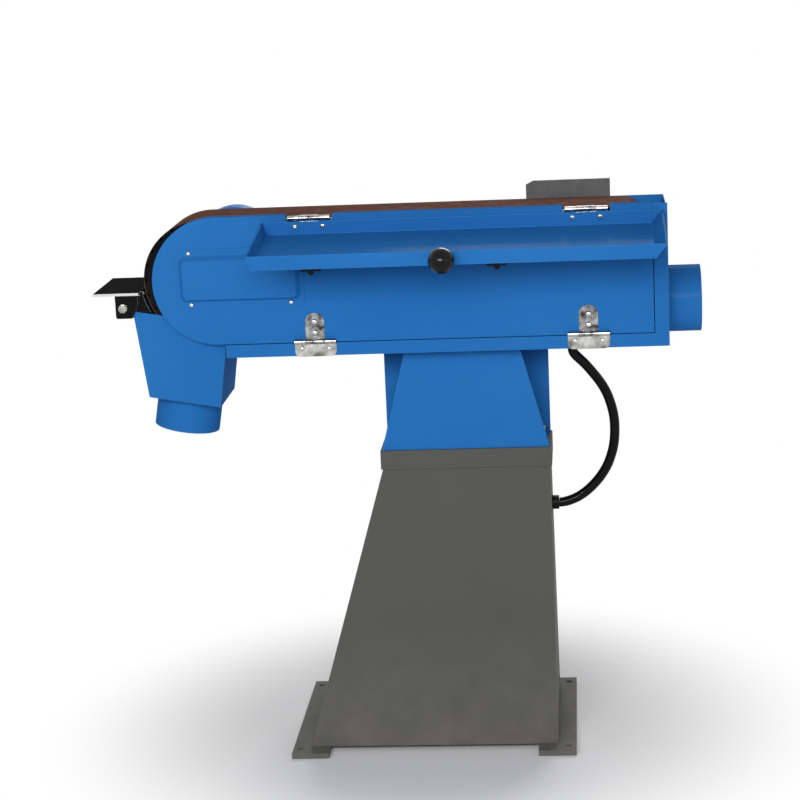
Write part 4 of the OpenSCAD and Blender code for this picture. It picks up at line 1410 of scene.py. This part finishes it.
@dataclass
class HeadFrame(SubAssembly):
    """The fixed sheet work of the head: rims, back plate, hopper, outlets and fence.

    Attributes:
        hopper_tilt: Slope of the hopper's floor in degrees.
        hopper_outlet: Middle of the hopper outlet's root, on the head.
        outlet_r: Radius of the hopper outlet in millimetres.
    """

    hopper_tilt: float = 10.0
    hopper_outlet: Point = (-76.6, 106.8, -224.2)
    outlet_r: float = 60.0

    def build(self) -> None:
        """Build the head's fixed parts."""
        self.soften_each("frame", Slot.PAINTED_BLUE, {
            "floor_channel": 1.1, "end_channel": 1.1, "back_plate": 1.0, "hopper": 1.0,
            "hopper_outlet": 0.5, "end_outlet": 0.4})
        self.soften("fence_plate", "frame", Slot.STEEL, 0.8, DARK_STEEL)
        self.soften("fence_bolts", "frame", Slot.ZINC, 0.6, segments=2)
        self.soften("platen", "frame", Slot.STEEL, 0.8)
        self.soften("platen_brackets", "frame", Slot.STEEL, 0.6, DARK_STEEL)
        self.soften("door_posts", "frame", Slot.STEEL, 0.8, TURNED_STEEL)
        self._outlet_weld()

    def _outlet_weld(self) -> None:
        """Weld the hopper's outlet to the hopper's floor."""
        centre = head(*self.hopper_outlet)
        turn = Matrix.Rotation(math.radians(self.hopper_tilt), 4, "Y")
        reach = (self.outlet_r + 1.6) * MM
        corners = circle(64)
        ring = [centre + turn @ Vector((c * reach, s * reach, -0.0012))
                for c, s in corners + corners[:1]]
        self.weld("hopper_outlet_weld", [ring], "frame", Slot.PAINTED_BLUE, width=2.6, pitch=1.6)


@dataclass
class Door(SubAssembly):
    """The hinged door with its pressed cover and star knobs.

    Attributes:
        knob_x: Places of the star knobs along the door.
        knob_z: Their height on the head.
        knob_r: Radius over the lobes in millimetres.
        lobes: Lobes of a star knob.
        cover: Middle, size and corner radius of the pressed cover's flange.
        cover_foot: The same for the foot of its raised box.
        cover_face: The same for the box's face.
        cover_rise: Height of the box over the door.
        cover_t: Thickness of the cover's sheet.
        rivet_x: Places of the cover's rivets along the door.
        rivet_z: Their heights.
    """

    knob_x: tuple[float, float] = (175.0, 505.0)
    knob_z: float = 32.0
    knob_r: float = 23.0
    lobes: int = 7
    cover: Panel = (44.4, 5.7, 229.5, 107.5, 12.0)
    cover_foot: Panel = (44.0, 6.2, 218.0, 83.0, 13.0)
    cover_face: Panel = (43.3, 4.5, 203.0, 70.0, 7.0)
    cover_rise: float = 11.5
    cover_t: float = 1.2
    rivet_x: tuple[float, float] = (-45.6, 134.4)
    rivet_z: tuple[float, float] = (-40.7, 51.9)

    def build(self) -> None:
        """Build the door."""
        self.soften("door_panel", "door", Slot.PAINTED_BLUE, 1.2)
        self._cover()
        for x, side in zip(self.knob_x, ("left", "right")):
            self._star_knob(x, side)

    def _cover(self) -> None:
        """Press the cover: a thin flange, a hollow curve up, sloping sides and a round edge."""
        def between(share: float) -> Panel:
            """Give the box's outline part of the way from its foot to its face."""
            low, high = self.cover_foot, self.cover_face
            return tuple(a + (b - a) * share for a, b in zip(low, high))

        def outline(panel: Panel, grow: float = 0.0) -> Outline:
            """Give the points of a rectangle with round corners.

            Args:
                panel: The rectangle, as the class has it.
                grow: How far the outline lies outside it in millimetres.

            Returns:
                The points in metres.
            """
            x, z, width, height, corner = panel
            points = []
            corner = max(corner + grow, 0.5)
            for quarter, (sx, sz) in enumerate(((1, 1), (-1, 1), (-1, -1), (1, -1))):
                mid_x = x + sx * (width / 2 + grow - corner)
                mid_z = z + sz * (height / 2 + grow - corner)
                for k in range(13):
                    angle = math.pi / 2 * (quarter + k / 12)
                    points.append(((mid_x + corner * math.cos(angle)) * MM,
                                   (mid_z + corner * math.sin(angle)) * MM))
            return points

        rise, thick = self.cover_rise, self.cover_t
        levels = [(0.0, outline(self.cover)), (thick * 0.7, outline(self.cover)),
                  (thick * 0.93, outline(self.cover, -0.25)), (thick, outline(self.cover, -0.7)),
                  (thick, outline(self.cover_foot, 3.2)), (thick, outline(self.cover_foot, 1.6)),
                  (thick + 0.3, outline(self.cover_foot, 0.5))]
        for share in (0.08, 0.2, 0.4, 0.6, 0.78):
            levels.append((thick + (rise - thick) * share, outline(between(share))))
        for share, grow in ((0.9, -0.15), (0.965, -0.6), (0.992, -1.4), (1.0, -2.4), (1.0, -6.0)):
            levels.append((thick + (rise - thick) * share, outline(between(share), grow)))
        cover = lofted("pressed_cover", [(h * MM, points) for h, points in levels],
                       head(0, 0, 0), FRONT)
        self.keep(cover, "door", Slot.PAINTED_BLUE, stands_for=("door_plate",))
        places = [head(x, -thick, z) for x in self.rivet_x for z in self.rivet_z]
        self.fasten("cover_rivet_heads", HeadShape.RIVET, places, FRONT, 4.2, "door",
                    finish=HEAD_ZINC, stands_for=("door_rivets",))

    def _star_knob(self, x: float, side: str) -> None:
        """Mould one lobed grip on its stud.

        Args:
            x: Its place along the door.
            side: Which of the two knobs it is.
        """
        sides = 16 * self.lobes

        def ring(reach: float, depth: float) -> Outline:
            """Give one level of the grip.

            Args:
                reach: Radius over the lobes in millimetres.
                depth: Share of the radius by which the hollows lie deeper, 0 for a round level.

            Returns:
                The points in metres.
            """
            points = []
            for k, (c, s) in enumerate(circle(sides)):
                angle = 2 * math.pi * k / sides
                wave = 0.5 + 0.5 * math.cos(self.lobes * (angle + math.pi / 2))
                radius = reach * (1 - depth * (1 - wave ** 0.7)) * MM
                points.append((radius * c, radius * s))
            return points

        levels = [(-16.9, 4.0, 0.0), (0.3, 4.0, 0.0), (0.31, 10.2, 0.0), (2.0, 11.0, 0.0),
                  (10.4, 11.0, 0.0), (11.6, 15.0, 0.1), (12.4, 20.6, 0.26), (14.0, 22.6, 0.3),
                  (18.0, self.knob_r, 0.31), (23.0, 22.4, 0.3), (25.4, 20.6, 0.27),
                  (26.6, 17.6, 0.2), (27.0, 13.0, 0.08)]
        outlines = [(height * MM, ring(reach, depth)) for height, reach, depth in levels]
        grip = lofted(f"star_grip_{side}", outlines, head(x, 0, self.knob_z), FRONT)
        self.keep(grip, f"door_knob_{side}", Slot.KNOB_BLACK, stands_for=(f"star_knob_{side}",))


@dataclass
class Lid(SubAssembly):
    """The folding lid with its ball knob.

    Attributes:
        opened: Angle that the open lid has turned through, in degrees.
        hinge: Y and Z of its hinge line on the head.
        knob: Place of the ball's middle in the closed lid.
        depth: Depth of the lid in millimetres.
        ball_r: Radius of the ball in millimetres.
    """

    opened: float = 187.7
    hinge: tuple[float, float] = (-5.0, 110.0)
    knob: Point = (421.4, 238.0, 16.0)
    depth: float = 213.0
    ball_r: float = 22.2

    def place(self, x: float, y: float, z: float) -> Vector:
        """Turn a place on the closed lid into the machine's frame, where the lid is open.

        Args:
            x: Millimetres right of the door's nose centre.
            y: Millimetres behind the hinge line.
            z: Millimetres above the hinge line.

        Returns:
            The place in metres.
        """
        angle = math.radians(self.opened)
        turned_y = y * math.cos(angle) - z * math.sin(angle)
        turned_z = y * math.sin(angle) + z * math.cos(angle)
        return head(x, self.hinge[0] + turned_y, self.hinge[1] + turned_z)

    def build(self) -> None:
        """Build the lid and its knob."""
        self.soften("lid_tray", "lid", Slot.PAINTED_BLUE, 1.0)
        x, y, z = self.knob
        root = self.place(x, self.depth, z)
        axis = self.place(x, y, z) - root
        reach = axis.length / MM
        profile = [(0.0, 0.02), (10.0, 0.0), (10.0, 0.6), (8.6, 1.2), (8.2, 2.6)]
        for k in range(3, 36):
            angle = math.pi * k / 36
            profile.append((self.ball_r * math.sin(angle),
                            reach - self.ball_r * math.cos(angle)))
        profile += [(r, reach + self.ball_r * 0.992) for r in (5.0, 0.0)]
        knob = turned("ball_knob", profile, root, axis, sides=72)
        self.keep(knob, "lid", Slot.KNOB_BLACK, BALL_PLASTIC, ("lid_knob",))


@dataclass
class Hinges(SubAssembly):
    """The four bright T hinges with their rivets and screws.

    Attributes:
        lid_screws: Screws through the lid's back flange, as X on the head and Z in the closed lid.
        lid_sheet: Thickness of the lid's sheet in millimetres.
        strap_rivets: Rivets of the door hinges' straps, from each hinge's middle.
        rim_rivets: Rivets of the door hinges' wide leaves, from each hinge's middle.
        door_x: Middles of the door hinges.
        leaf_y: Y of the leaves' front, on the head.
    """

    lid_screws: tuple[tuple[float, float], ...] = (
        (149.0, 15.7), (199.0, 15.6), (639.5, 15.2), (688.5, 15.1))
    lid_sheet: float = 2.0
    strap_rivets: tuple[tuple[float, float], ...] = ((0.0, -77.7), (0.0, -97.2))
    rim_rivets: tuple[tuple[float, float], ...] = ((-24.4, -126.1), (24.4, -126.6))
    door_x: tuple[float, float] = (174.5, 663.0)
    leaf_y: float = -1.5

    def build(self) -> None:
        """Build leaves, pins and their fasteners."""
        self.soften("door_hinge_leaves", "frame", Slot.ZINC, 0.5, segments=2)
        self.soften_each("door", Slot.ZINC, {"door_hinge_straps": 0.5, "lid_hinge_straps": 0.5},
                         STRAP_ZINC, segments=2)
        self.soften("lid_hinge_leaves", "lid", Slot.ZINC, 0.5, segments=2)
        self.soften("door_hinge_pins", "frame", Slot.ZINC, 0.8, segments=2)
        self.soften("lid_hinge_pins", "lid", Slot.ZINC, 0.8, segments=2)
        for name, rivets, radius, body in (
                ("strap_rivet_heads", self.strap_rivets, 5.8, "door"),
                ("rim_rivet_heads", self.rim_rivets, 4.4, "frame")):
            places = [head(x + dx, self.leaf_y, z) for x in self.door_x for dx, z in rivets]
            self.fasten(name, HeadShape.RIVET, places, FRONT, radius, body, finish=HEAD_ZINC)
        lid = Lid()
        screws = [lid.place(x, self.lid_sheet, z) for x, z in self.lid_screws]
        facing = lid.place(0, self.lid_sheet + 1, 0) - lid.place(0, self.lid_sheet, 0)
        self.fasten("lid_screw_heads", HeadShape.SCREW, screws, facing, 4.6, "lid",
                    finish=HEAD_ZINC)


@dataclass
class BeltDrive(SubAssembly):
    """The abrasive belt, the contact wheel and what the wheel sits on.

    Attributes:
        wheel: X and Z of the contact wheel's middle on the head.
        wheel_r: Radius inside the belt there, in millimetres.
        roller: X and Z of the roller's middle on the head.
        roller_r: Radius inside the belt there, in millimetres.
        thickness: Thickness of the belt in millimetres.
        front: Y of the belt's front edge on the head.
        width: Width of the belt in millimetres.
        bevel: Share of the thickness that its edges are bevelled by.
    """

    wheel: tuple[float, float] = (-27.0, 0.0)
    wheel_r: float = 106.3
    roller: tuple[float, float] = (725.0, 57.3)
    roller_r: float = 49.0
    thickness: float = 1.2
    front: float = 25.0
    width: float = 150.0
    bevel: float = 0.12

    def build(self) -> None:
        """Build the drive."""
        self._belt()
        wheel = "contact_wheel"
        self.soften("wheel_tyre", wheel, Slot.RUBBER_BLACK, 0.8, segments=2)
        self.soften("wheel_hub", wheel, Slot.ALLOY, 0.8, segments=2)
        self.soften("wheel_fastener", wheel, Slot.ZINC, 0.6, segments=2)
        self.soften("drive_shaft", wheel, Slot.STEEL, 0.8, TURNED_STEEL)

    def _path(self) -> list[tuple[Vector, Vector]]:
        """Give points and outward directions along the inside of the belt's loop.

        Returns:
            Place and direction in the head's X and Z for each point.
        """
        wheel, roller = Vector(self.wheel), Vector(self.roller)
        wrap = 2 * math.atan2(self.wheel_r - self.roller_r, roller.x - wheel.x)
        spots: list[tuple[Vector, Vector]] = []
        arcs = [(wheel, self.wheel_r, math.pi / 2, 1.5 * math.pi + wrap, 96),
                (roller, self.roller_r, -math.pi / 2 + wrap, math.pi / 2, 56)]
        for centre, radius, start, end, steps in arcs:
            for k in range(steps + 1):
                angle = start + (end - start) * k / steps
                out = Vector((math.cos(angle), math.sin(angle)))
                spots.append((centre + out * radius, out))
        return spots

    def _belt(self) -> None:
        """Bend the belt's band round its loop, grit outside and cloth inside."""
        spots = self._path()
        mesh = bmesh.new()
        uv = mesh.loops.layers.uv.new("run")
        skim = self.thickness * self.bevel
        back = self.front + self.width
        section = [(0.0, self.front + skim), (0.0, back - skim), (skim, back),
                   (self.thickness - skim, back), (self.thickness, back - skim),
                   (self.thickness, self.front + skim), (self.thickness - skim, self.front),
                   (skim, self.front)]
        rings = []
        length = 0.0
        runs = []
        for i, (spot, out) in enumerate(spots):
            if i:
                length += (spot - spots[i - 1][0]).length
            runs.append(length)
            rings.append([mesh.verts.new(head((spot + out * t).x, y, (spot + out * t).y))
                          for t, y in section])
        total = length + (spots[0][0] - spots[-1][0]).length
        for i in range(len(spots)):
            j = (i + 1) % len(spots)
            for k in range(len(section)):
                n = (k + 1) % len(section)
                face = mesh.faces.new((rings[i][k], rings[j][k], rings[j][n], rings[i][n]))
                face.material_index = 0 if k in (3, 4, 5) else 1
                end = runs[j] if j else total
                for loop, (run, side) in zip(face.loops, (
                        (runs[i], k), (end, k), (end, n), (runs[i], n))):
                    loop[uv].uv = (run * MM, section[side][1] * MM)
        bmesh.ops.recalc_face_normals(mesh, faces=mesh.faces)
        band = make_object("belt_band", mesh)
        band.data.materials.append(GRIT.material())
        band.data.materials.append(BELT_CLOTH.material())
        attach(band, "frame")
        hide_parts("abrasive_belt")
        self.made.append(band.name)


@dataclass
class Tensioner(SubAssembly):
    """The roller on its slide, with the lever and the tracking knob behind the head."""

    def build(self) -> None:
        """Build the tensioner."""
        self.soften("roller_shell", "tension_roller", Slot.STEEL, 0.8, TURNED_STEEL)
        self.soften("roller_bearings", "tension_roller", Slot.ZINC, 0.5, TURNED_STEEL,
                    segments=2)
        self.soften("roller_axle", "tension_slide", Slot.STEEL, 1.0, TURNED_STEEL)
        self.soften("tension_carriage", "tension_slide", Slot.PAINTED_GREY, 1.2)
        self.soften("slide_rails", "frame", Slot.PAINTED_GREY, 0.8)
        self.soften("lever_pivot", "frame", Slot.ZINC, 0.7, segments=2)
        self.soften("tension_lever", "tension_lever", Slot.PAINTED_BLACK, 1.4)
        self.soften("tracking_knob", "tracking_screw", Slot.KNOB_BLACK, 1.6)


@dataclass
class Motor(SubAssembly):
    """The motor behind the contact wheel.

    Attributes:
        axis: X and Z of the motor's axis on the head.
        start: Y where its finned body begins.
        length: Length of the finned body in millimetres.
        core_r: Radius of the body between the fins.
        fin_r: Radius over the fins.
        fins: Number of fins.
        ends: Length of each end ring.
        ring: Height of the end rings over the core.
        bore_r: Radius of the hollow for the shaft.
        bolt_circle: Radius of the flange bolts' circle.
        flange_y: Y of the flange's rear face.
        box_out: How far the terminal box stands out of the fins.
        box_screws: Y of the terminal box's screws.
    """

    axis: tuple[float, float] = (-27.0, 0.0)
    start: float = 222.0
    length: float = 190.0
    core_r: float = 69.0
    fin_r: float = 78.0
    fins: int = 28
    ends: float = 12.0
    ring: float = 4.0
    bore_r: float = 12.1
    bolt_circle: float = 80.0
    flange_y: float = 208.0
    box_out: float = 44.0
    box_screws: tuple[float, float] = (275.0, 351.0)

    def build(self) -> None:
        """Build the motor."""
        self.soften_each("frame", Slot.MOTOR_BLUE, {
            "motor_flange": 1.2, "motor_fan_cover": 1.4, "motor_terminal_box": 2.2})
        self._body()
        self._bolts()

    def _body(self) -> None:
        """Cast the body: a round core, two end rings and a tapered fin on each point."""
        x, z = self.axis
        place = head(x, self.start, z)
        ring_r, ends, length = self.core_r + self.ring, self.ends, self.length
        profile = [(self.bore_r, 0.0), (ring_r, 0.0), (ring_r, ends - 3), (self.core_r, ends),
                   (self.core_r, length - ends), (ring_r, length - ends + 3), (ring_r, length),
                   (self.bore_r, length)]
        core = turned("motor_core", profile, place, REAR, sides=96)
        mesh = bmesh.new()
        half = (length - 2 * ends) / 2 * MM
        section = [(-2.1, -1.5), (-1.5, 4.0), (-1.1, 8.2), (-0.5, 9.0), (0.5, 9.0), (1.1, 8.2),
                   (1.5, 4.0), (2.1, -1.5)]
        front, rear = ([mesh.verts.new((u * MM, y, v * MM)) for u, v in section]
                       for y in (-half, half))
        wall(mesh, [front, rear])
        mesh.faces.new(front)
        mesh.faces.new(list(reversed(rear)))
        bmesh.ops.recalc_face_normals(mesh, faces=mesh.faces)
        fin = make_object("fin_shape", mesh)
        mid = place + REAR * self.length / 2 * MM
        aims = [Vector((s, 0, c)) for c, s in circle(self.fins)]
        fins = point_piece("motor_fins", [mid + a * self.core_r * MM for a in aims], aims)
        GrowthTrees.apply(fins, "ribs_round", {
            "Rib": fin, "Along": tuple(REAR), "Material": MOTOR_PAINT.material()})
        fins.data.set_sharp_from_angle(angle=SHARP)
        bpy.data.objects.remove(fin)
        self.keep(core, "frame", Slot.MOTOR_BLUE, stands_for=("motor_body",))
        self.keep(fins, "frame", Slot.MOTOR_BLUE)

    def _bolts(self) -> None:
        """Set the flange's bolts and the terminal box's screws."""
        x, z = self.axis
        reach = self.bolt_circle
        angles = [math.radians(45 + 90 * k) for k in range(4)]
        bolts = [head(x + reach * math.cos(a), self.flange_y, z + reach * math.sin(a))
                 for a in angles]
        self.fasten("flange_bolt_heads", HeadShape.HEX, bolts, REAR, 8.0, "frame")
        lid_x = x + self.fin_r + self.box_out
        screws = [head(lid_x, y, z + up) for y in self.box_screws for up in (-32, 32)]
        self.fasten("terminal_box_screws", HeadShape.SCREW, screws, Vector((1, 0, 0)), 3.6,
                    "frame")


@dataclass
class SwitchBox(SubAssembly):
    """The switch box on the back of the pedestal.

    Attributes:
        middle: X and Z of the box on the head.
        face_y: Y of its face.
        half: Half its width and half its height.
        screw_in: Distance of its screws from its sides.
    """

    middle: tuple[float, float] = (435.0, -255.0)
    face_y: float = 236.0
    half: tuple[float, float] = (40.0, 62.5)
    screw_in: float = 8.0

    def build(self) -> None:
        """Build the box with its buttons and screws."""
        self.soften("switch_box", "frame", Slot.PLASTIC_GREY, 3.0, segments=4)
        self.soften("start_button", "start_push", Slot.BUTTON_GREEN, 0.9)
        self.soften("stop_button", "stop_push", Slot.BUTTON_RED, 1.6)
        x, z = self.middle
        out, up = (half - self.screw_in for half in self.half)
        spots = [head(x + sx * out, self.face_y, z + sz * up) for sx in (-1, 1) for sz in (-1, 1)]
        self.fasten("switch_box_screws", HeadShape.SCREW, spots, REAR, 3.2, "frame")


@dataclass
class WorkTable(SubAssembly):
    """The small tilting work table on its arms."""

    def build(self) -> None:
        """Build the table, its arms and its bolts."""
        self.soften("work_table", "table", Slot.PAINTED_BLACK, 0.6, TABLE_PAINT)
        self.soften_each("frame", Slot.PAINTED_BLACK, {
            "table_arm_front": 0.9, "table_arm_rear": 0.9})
        self.soften("table_bolts", "frame", Slot.ZINC, 0.6, segments=2)


@dataclass
class Cable(SubAssembly):
    """The black cable from the head's floor into the stand.

    Attributes:
        route: Points of its centreline on the head, as the solid has them.
        diameter: Its thickness in metres.
    """

    route: tuple[Point, ...] = (
        (633, 75, -153), (633.5, 75.5, -159), (637, 77, -166), (645, 80, -175),
        (655, 84, -186), (668, 90, -203), (681, 96, -222), (692, 102, -243), (700, 107, -267),
        (705, 111, -292), (706, 114, -318), (704, 115, -342), (699, 115, -363), (690, 115, -386),
        (675, 115, -409), (657, 115, -428), (638, 115, -442), (620, 115, -450), (606, 115, -453),
        (600, 115, -453))
    diameter: float = 0.018

    def build(self) -> None:
        """Lay the cable and fit its glands."""
        points = self._smooth_points()
        data = bpy.data.curves.new("cable_run", "CURVE")
        data.dimensions = "3D"
        data.bevel_depth = self.diameter / 2
        data.bevel_resolution = 8
        data.use_fill_caps = True
        spline = data.splines.new("POLY")
        spline.points.add(len(points) - 1)
        for target, spot in zip(spline.points, points):
            target.co = (*spot, 1.0)
        spline.use_smooth = True
        run = placed("cable_run", data)
        self.keep(run, "frame", Slot.CABLE_BLACK, stands_for=("cable",))
        self.soften_each("frame", Slot.CABLE_BLACK, {"floor_gland": 1.0, "stand_gland": 1.0},
                         GRIP_PLASTIC)

    def _smooth_points(self) -> list[Vector]:
        """Run a smooth line through the route.

        Returns:
            Points every few millimetres, in metres.
        """
        route = [head(*p) for p in self.route]
        points = [route[0]]
        for i in range(len(route) - 1):
            p1, p2 = route[i], route[i + 1]
            p0 = route[i - 1] if i else p1
            p3 = route[i + 2] if i + 2 < len(route) else p2
            for t in (0.25, 0.5, 0.75, 1.0):
                points.append(0.5 * (2 * p1 + (p2 - p0) * t
                                     + (2 * p0 - 5 * p1 + 4 * p2 - p3) * t ** 2
                                     + (3 * p1 - p0 - 3 * p2 + p3) * t ** 3))
        return points


# --------------------------------------------------------------------------- studio


@dataclass
class Studio:
    """Camera, lamps, floor and backdrop.

    Attributes:
        eye: Place of the camera in metres.
        yaw: How far it looks to the left, in degrees.
        pitch: How far it looks down, in degrees.
        roll: How far it is turned about its own line of sight, in degrees.
        focal: Focal length in pixels of the photograph.
        aim: Where the lamps point, in metres.
        softboxes: Name, place and size in metres, and power in watts, of each lamp.
    """

    eye: Point = (0.309, -4.083, 1.546)
    yaw: float = 5.03
    pitch: float = 12.44
    roll: float = -2.595
    focal: float = 2210.4
    aim: Point = (0.0, 0.0, 0.85)
    softboxes: tuple[tuple[str, Point, tuple[float, float], float], ...] = (
        ("key_softbox", (-0.3, -4.2, 2.15), (2.6, 1.0), 121.0),
        ("fill_softbox", (2.6, -2.6, 1.5), (1.6, 1.6), 7.0),
        ("small_lamp", (-2.1, -3.2, 2.7), (0.16, 0.16), 7.0),
        ("back_softbox", (0.6, 2.6, 2.6), (2.0, 1.2), 45.0))

    def camera(self) -> None:
        """Set the camera where the photograph was taken from."""
        yaw, pitch, roll = (math.radians(v) for v in (self.yaw, self.pitch, self.roll))
        ahead = Vector((-math.sin(yaw) * math.cos(pitch), math.cos(yaw) * math.cos(pitch),
                        -math.sin(pitch)))
        right = Vector((math.cos(yaw), math.sin(yaw), 0))
        up = right.cross(ahead)
        across = right * math.cos(roll) + up * math.sin(roll)
        upward = up * math.cos(roll) - right * math.sin(roll)
        data = bpy.data.cameras.new("photo_camera")
        data.sensor_width = SENSOR
        data.lens = self.focal / PHOTO_SIDE * SENSOR
        data.clip_start, data.clip_end = 0.1, 200
        camera = placed("photo_camera", data)
        turn = Matrix((across, upward, -ahead)).transposed().to_4x4()
        camera.matrix_world = Matrix.Translation(Vector(self.eye)) @ turn
        bpy.context.scene.camera = camera

    def lamps(self) -> None:
        """Hang the softboxes."""
        for name, place, size, power in self.softboxes:
            data = bpy.data.lights.new(name, "AREA")
            data.shape = "RECTANGLE"
            data.size, data.size_y = size
            data.energy = power
            lamp = placed(name, data)
            lamp.location = place
            sight = Vector(self.aim) - Vector(place)
            lamp.rotation_euler = sight.to_track_quat("-Z", "Y").to_euler()

    @staticmethod
    def _seen(wiring: Wiring, *more: str) -> bpy.types.NodeSocket:
        """Tell camera and glossy rays from the rest.

        Args:
            wiring: Wiring of the tree.
            *more: Further kinds of ray that count, by their output's name.

        Returns:
            1 for such a ray and 0 for others.
        """
        ray = wiring.add("ShaderNodeLightPath")
        seen = ray.outputs["Is Camera Ray"]
        for kind in ("Is Glossy Ray", *more):
            seen = wiring.maths("MAXIMUM", seen, ray.outputs[kind])
        return seen

    def world(self, ambient: float = 0.24) -> None:
        """Fill the surroundings with plain pale light.

        Args:
            ambient: Strength of the light that reaches the object from all round.
        """
        world = bpy.data.worlds.new("studio")
        bpy.context.scene.world = world
        world.use_nodes = True
        world.node_tree.nodes.clear()
        wiring = Wiring(world.node_tree)
        either = self._seen(wiring, "Is Transmission Ray")
        soft, white = (wiring.add("ShaderNodeBackground", {"Color": WHITE, "Strength": strength})
                       for strength in (ambient, 1.0))
        mixed = wiring.add("ShaderNodeMixShader", {0: either, 1: soft.outputs[0],
                                                   2: white.outputs[0]})
        wiring.add("ShaderNodeOutputWorld", {"Surface": mixed.outputs[0]})

    def floor(self, radius: float = 14.0, fade: tuple[float, float] = (0.3, 0.8),
              below: float = 0.0006) -> None:
        """Lay a pale floor that fades into the backdrop.

        Args:
            radius: Radius of the floor in metres.
            fade: How far from the middle it starts to fade and is gone, in metres.
            below: How far it lies below the machine's rails, in metres.
        """
        mesh = bmesh.new()
        bmesh.ops.create_circle(mesh, cap_ends=True, segments=96, radius=radius,
                                matrix=Matrix.Translation((0, 0, -below)))
        ground = make_object("studio_floor", mesh, smooth=False)
        material = bpy.data.materials.new("studio_floor")
        material.use_nodes = True
        material.node_tree.nodes.clear()
        wiring = Wiring(material.node_tree)
        reach = wiring.add("ShaderNodeVectorMath", {0: wiring.here()}, operation="LENGTH")
        far = wiring.ranged(reach.outputs["Value"], *fade, interpolation_type="SMOOTHSTEP")
        gone = wiring.maths("MULTIPLY", far, self._seen(wiring))
        pale = wiring.add("ShaderNodeBsdfDiffuse", {"Color": (*FLOOR_COLOUR, 1.0)})
        white = wiring.add("ShaderNodeEmission", {"Strength": 1.0})
        mixed = wiring.add("ShaderNodeMixShader", {0: gone, 1: pale.outputs[0],
                                                   2: white.outputs[0]})
        wiring.add("ShaderNodeOutputMaterial", {"Surface": mixed.outputs[0]})
        ground.data.materials.append(material)

    def build(self) -> None:
        """Set up the whole studio."""
        bpy.context.scene.view_settings.view_transform = "Standard"
        self.camera()
        self.lamps()
        self.world()
        self.floor()


def main() -> None:
    """Build the studio and every sub-assembly, and log the pieces that each one made."""
    logging.basicConfig(level=logging.INFO, format="%(name)s: %(message)s")
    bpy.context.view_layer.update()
    Studio().build()
    groups: list[SubAssembly] = [
        Cable(), Stand(), Pedestal(), HeadFrame(), Door(), Lid(), Hinges(), BeltDrive(),
        Tensioner(), Motor(), SwitchBox(), WorkTable()]
    for group in groups:
        group.build()
        for name in group.made:
            log.info("%s: %s", type(group).__name__, name)


if __name__ == "__main__":
    main()
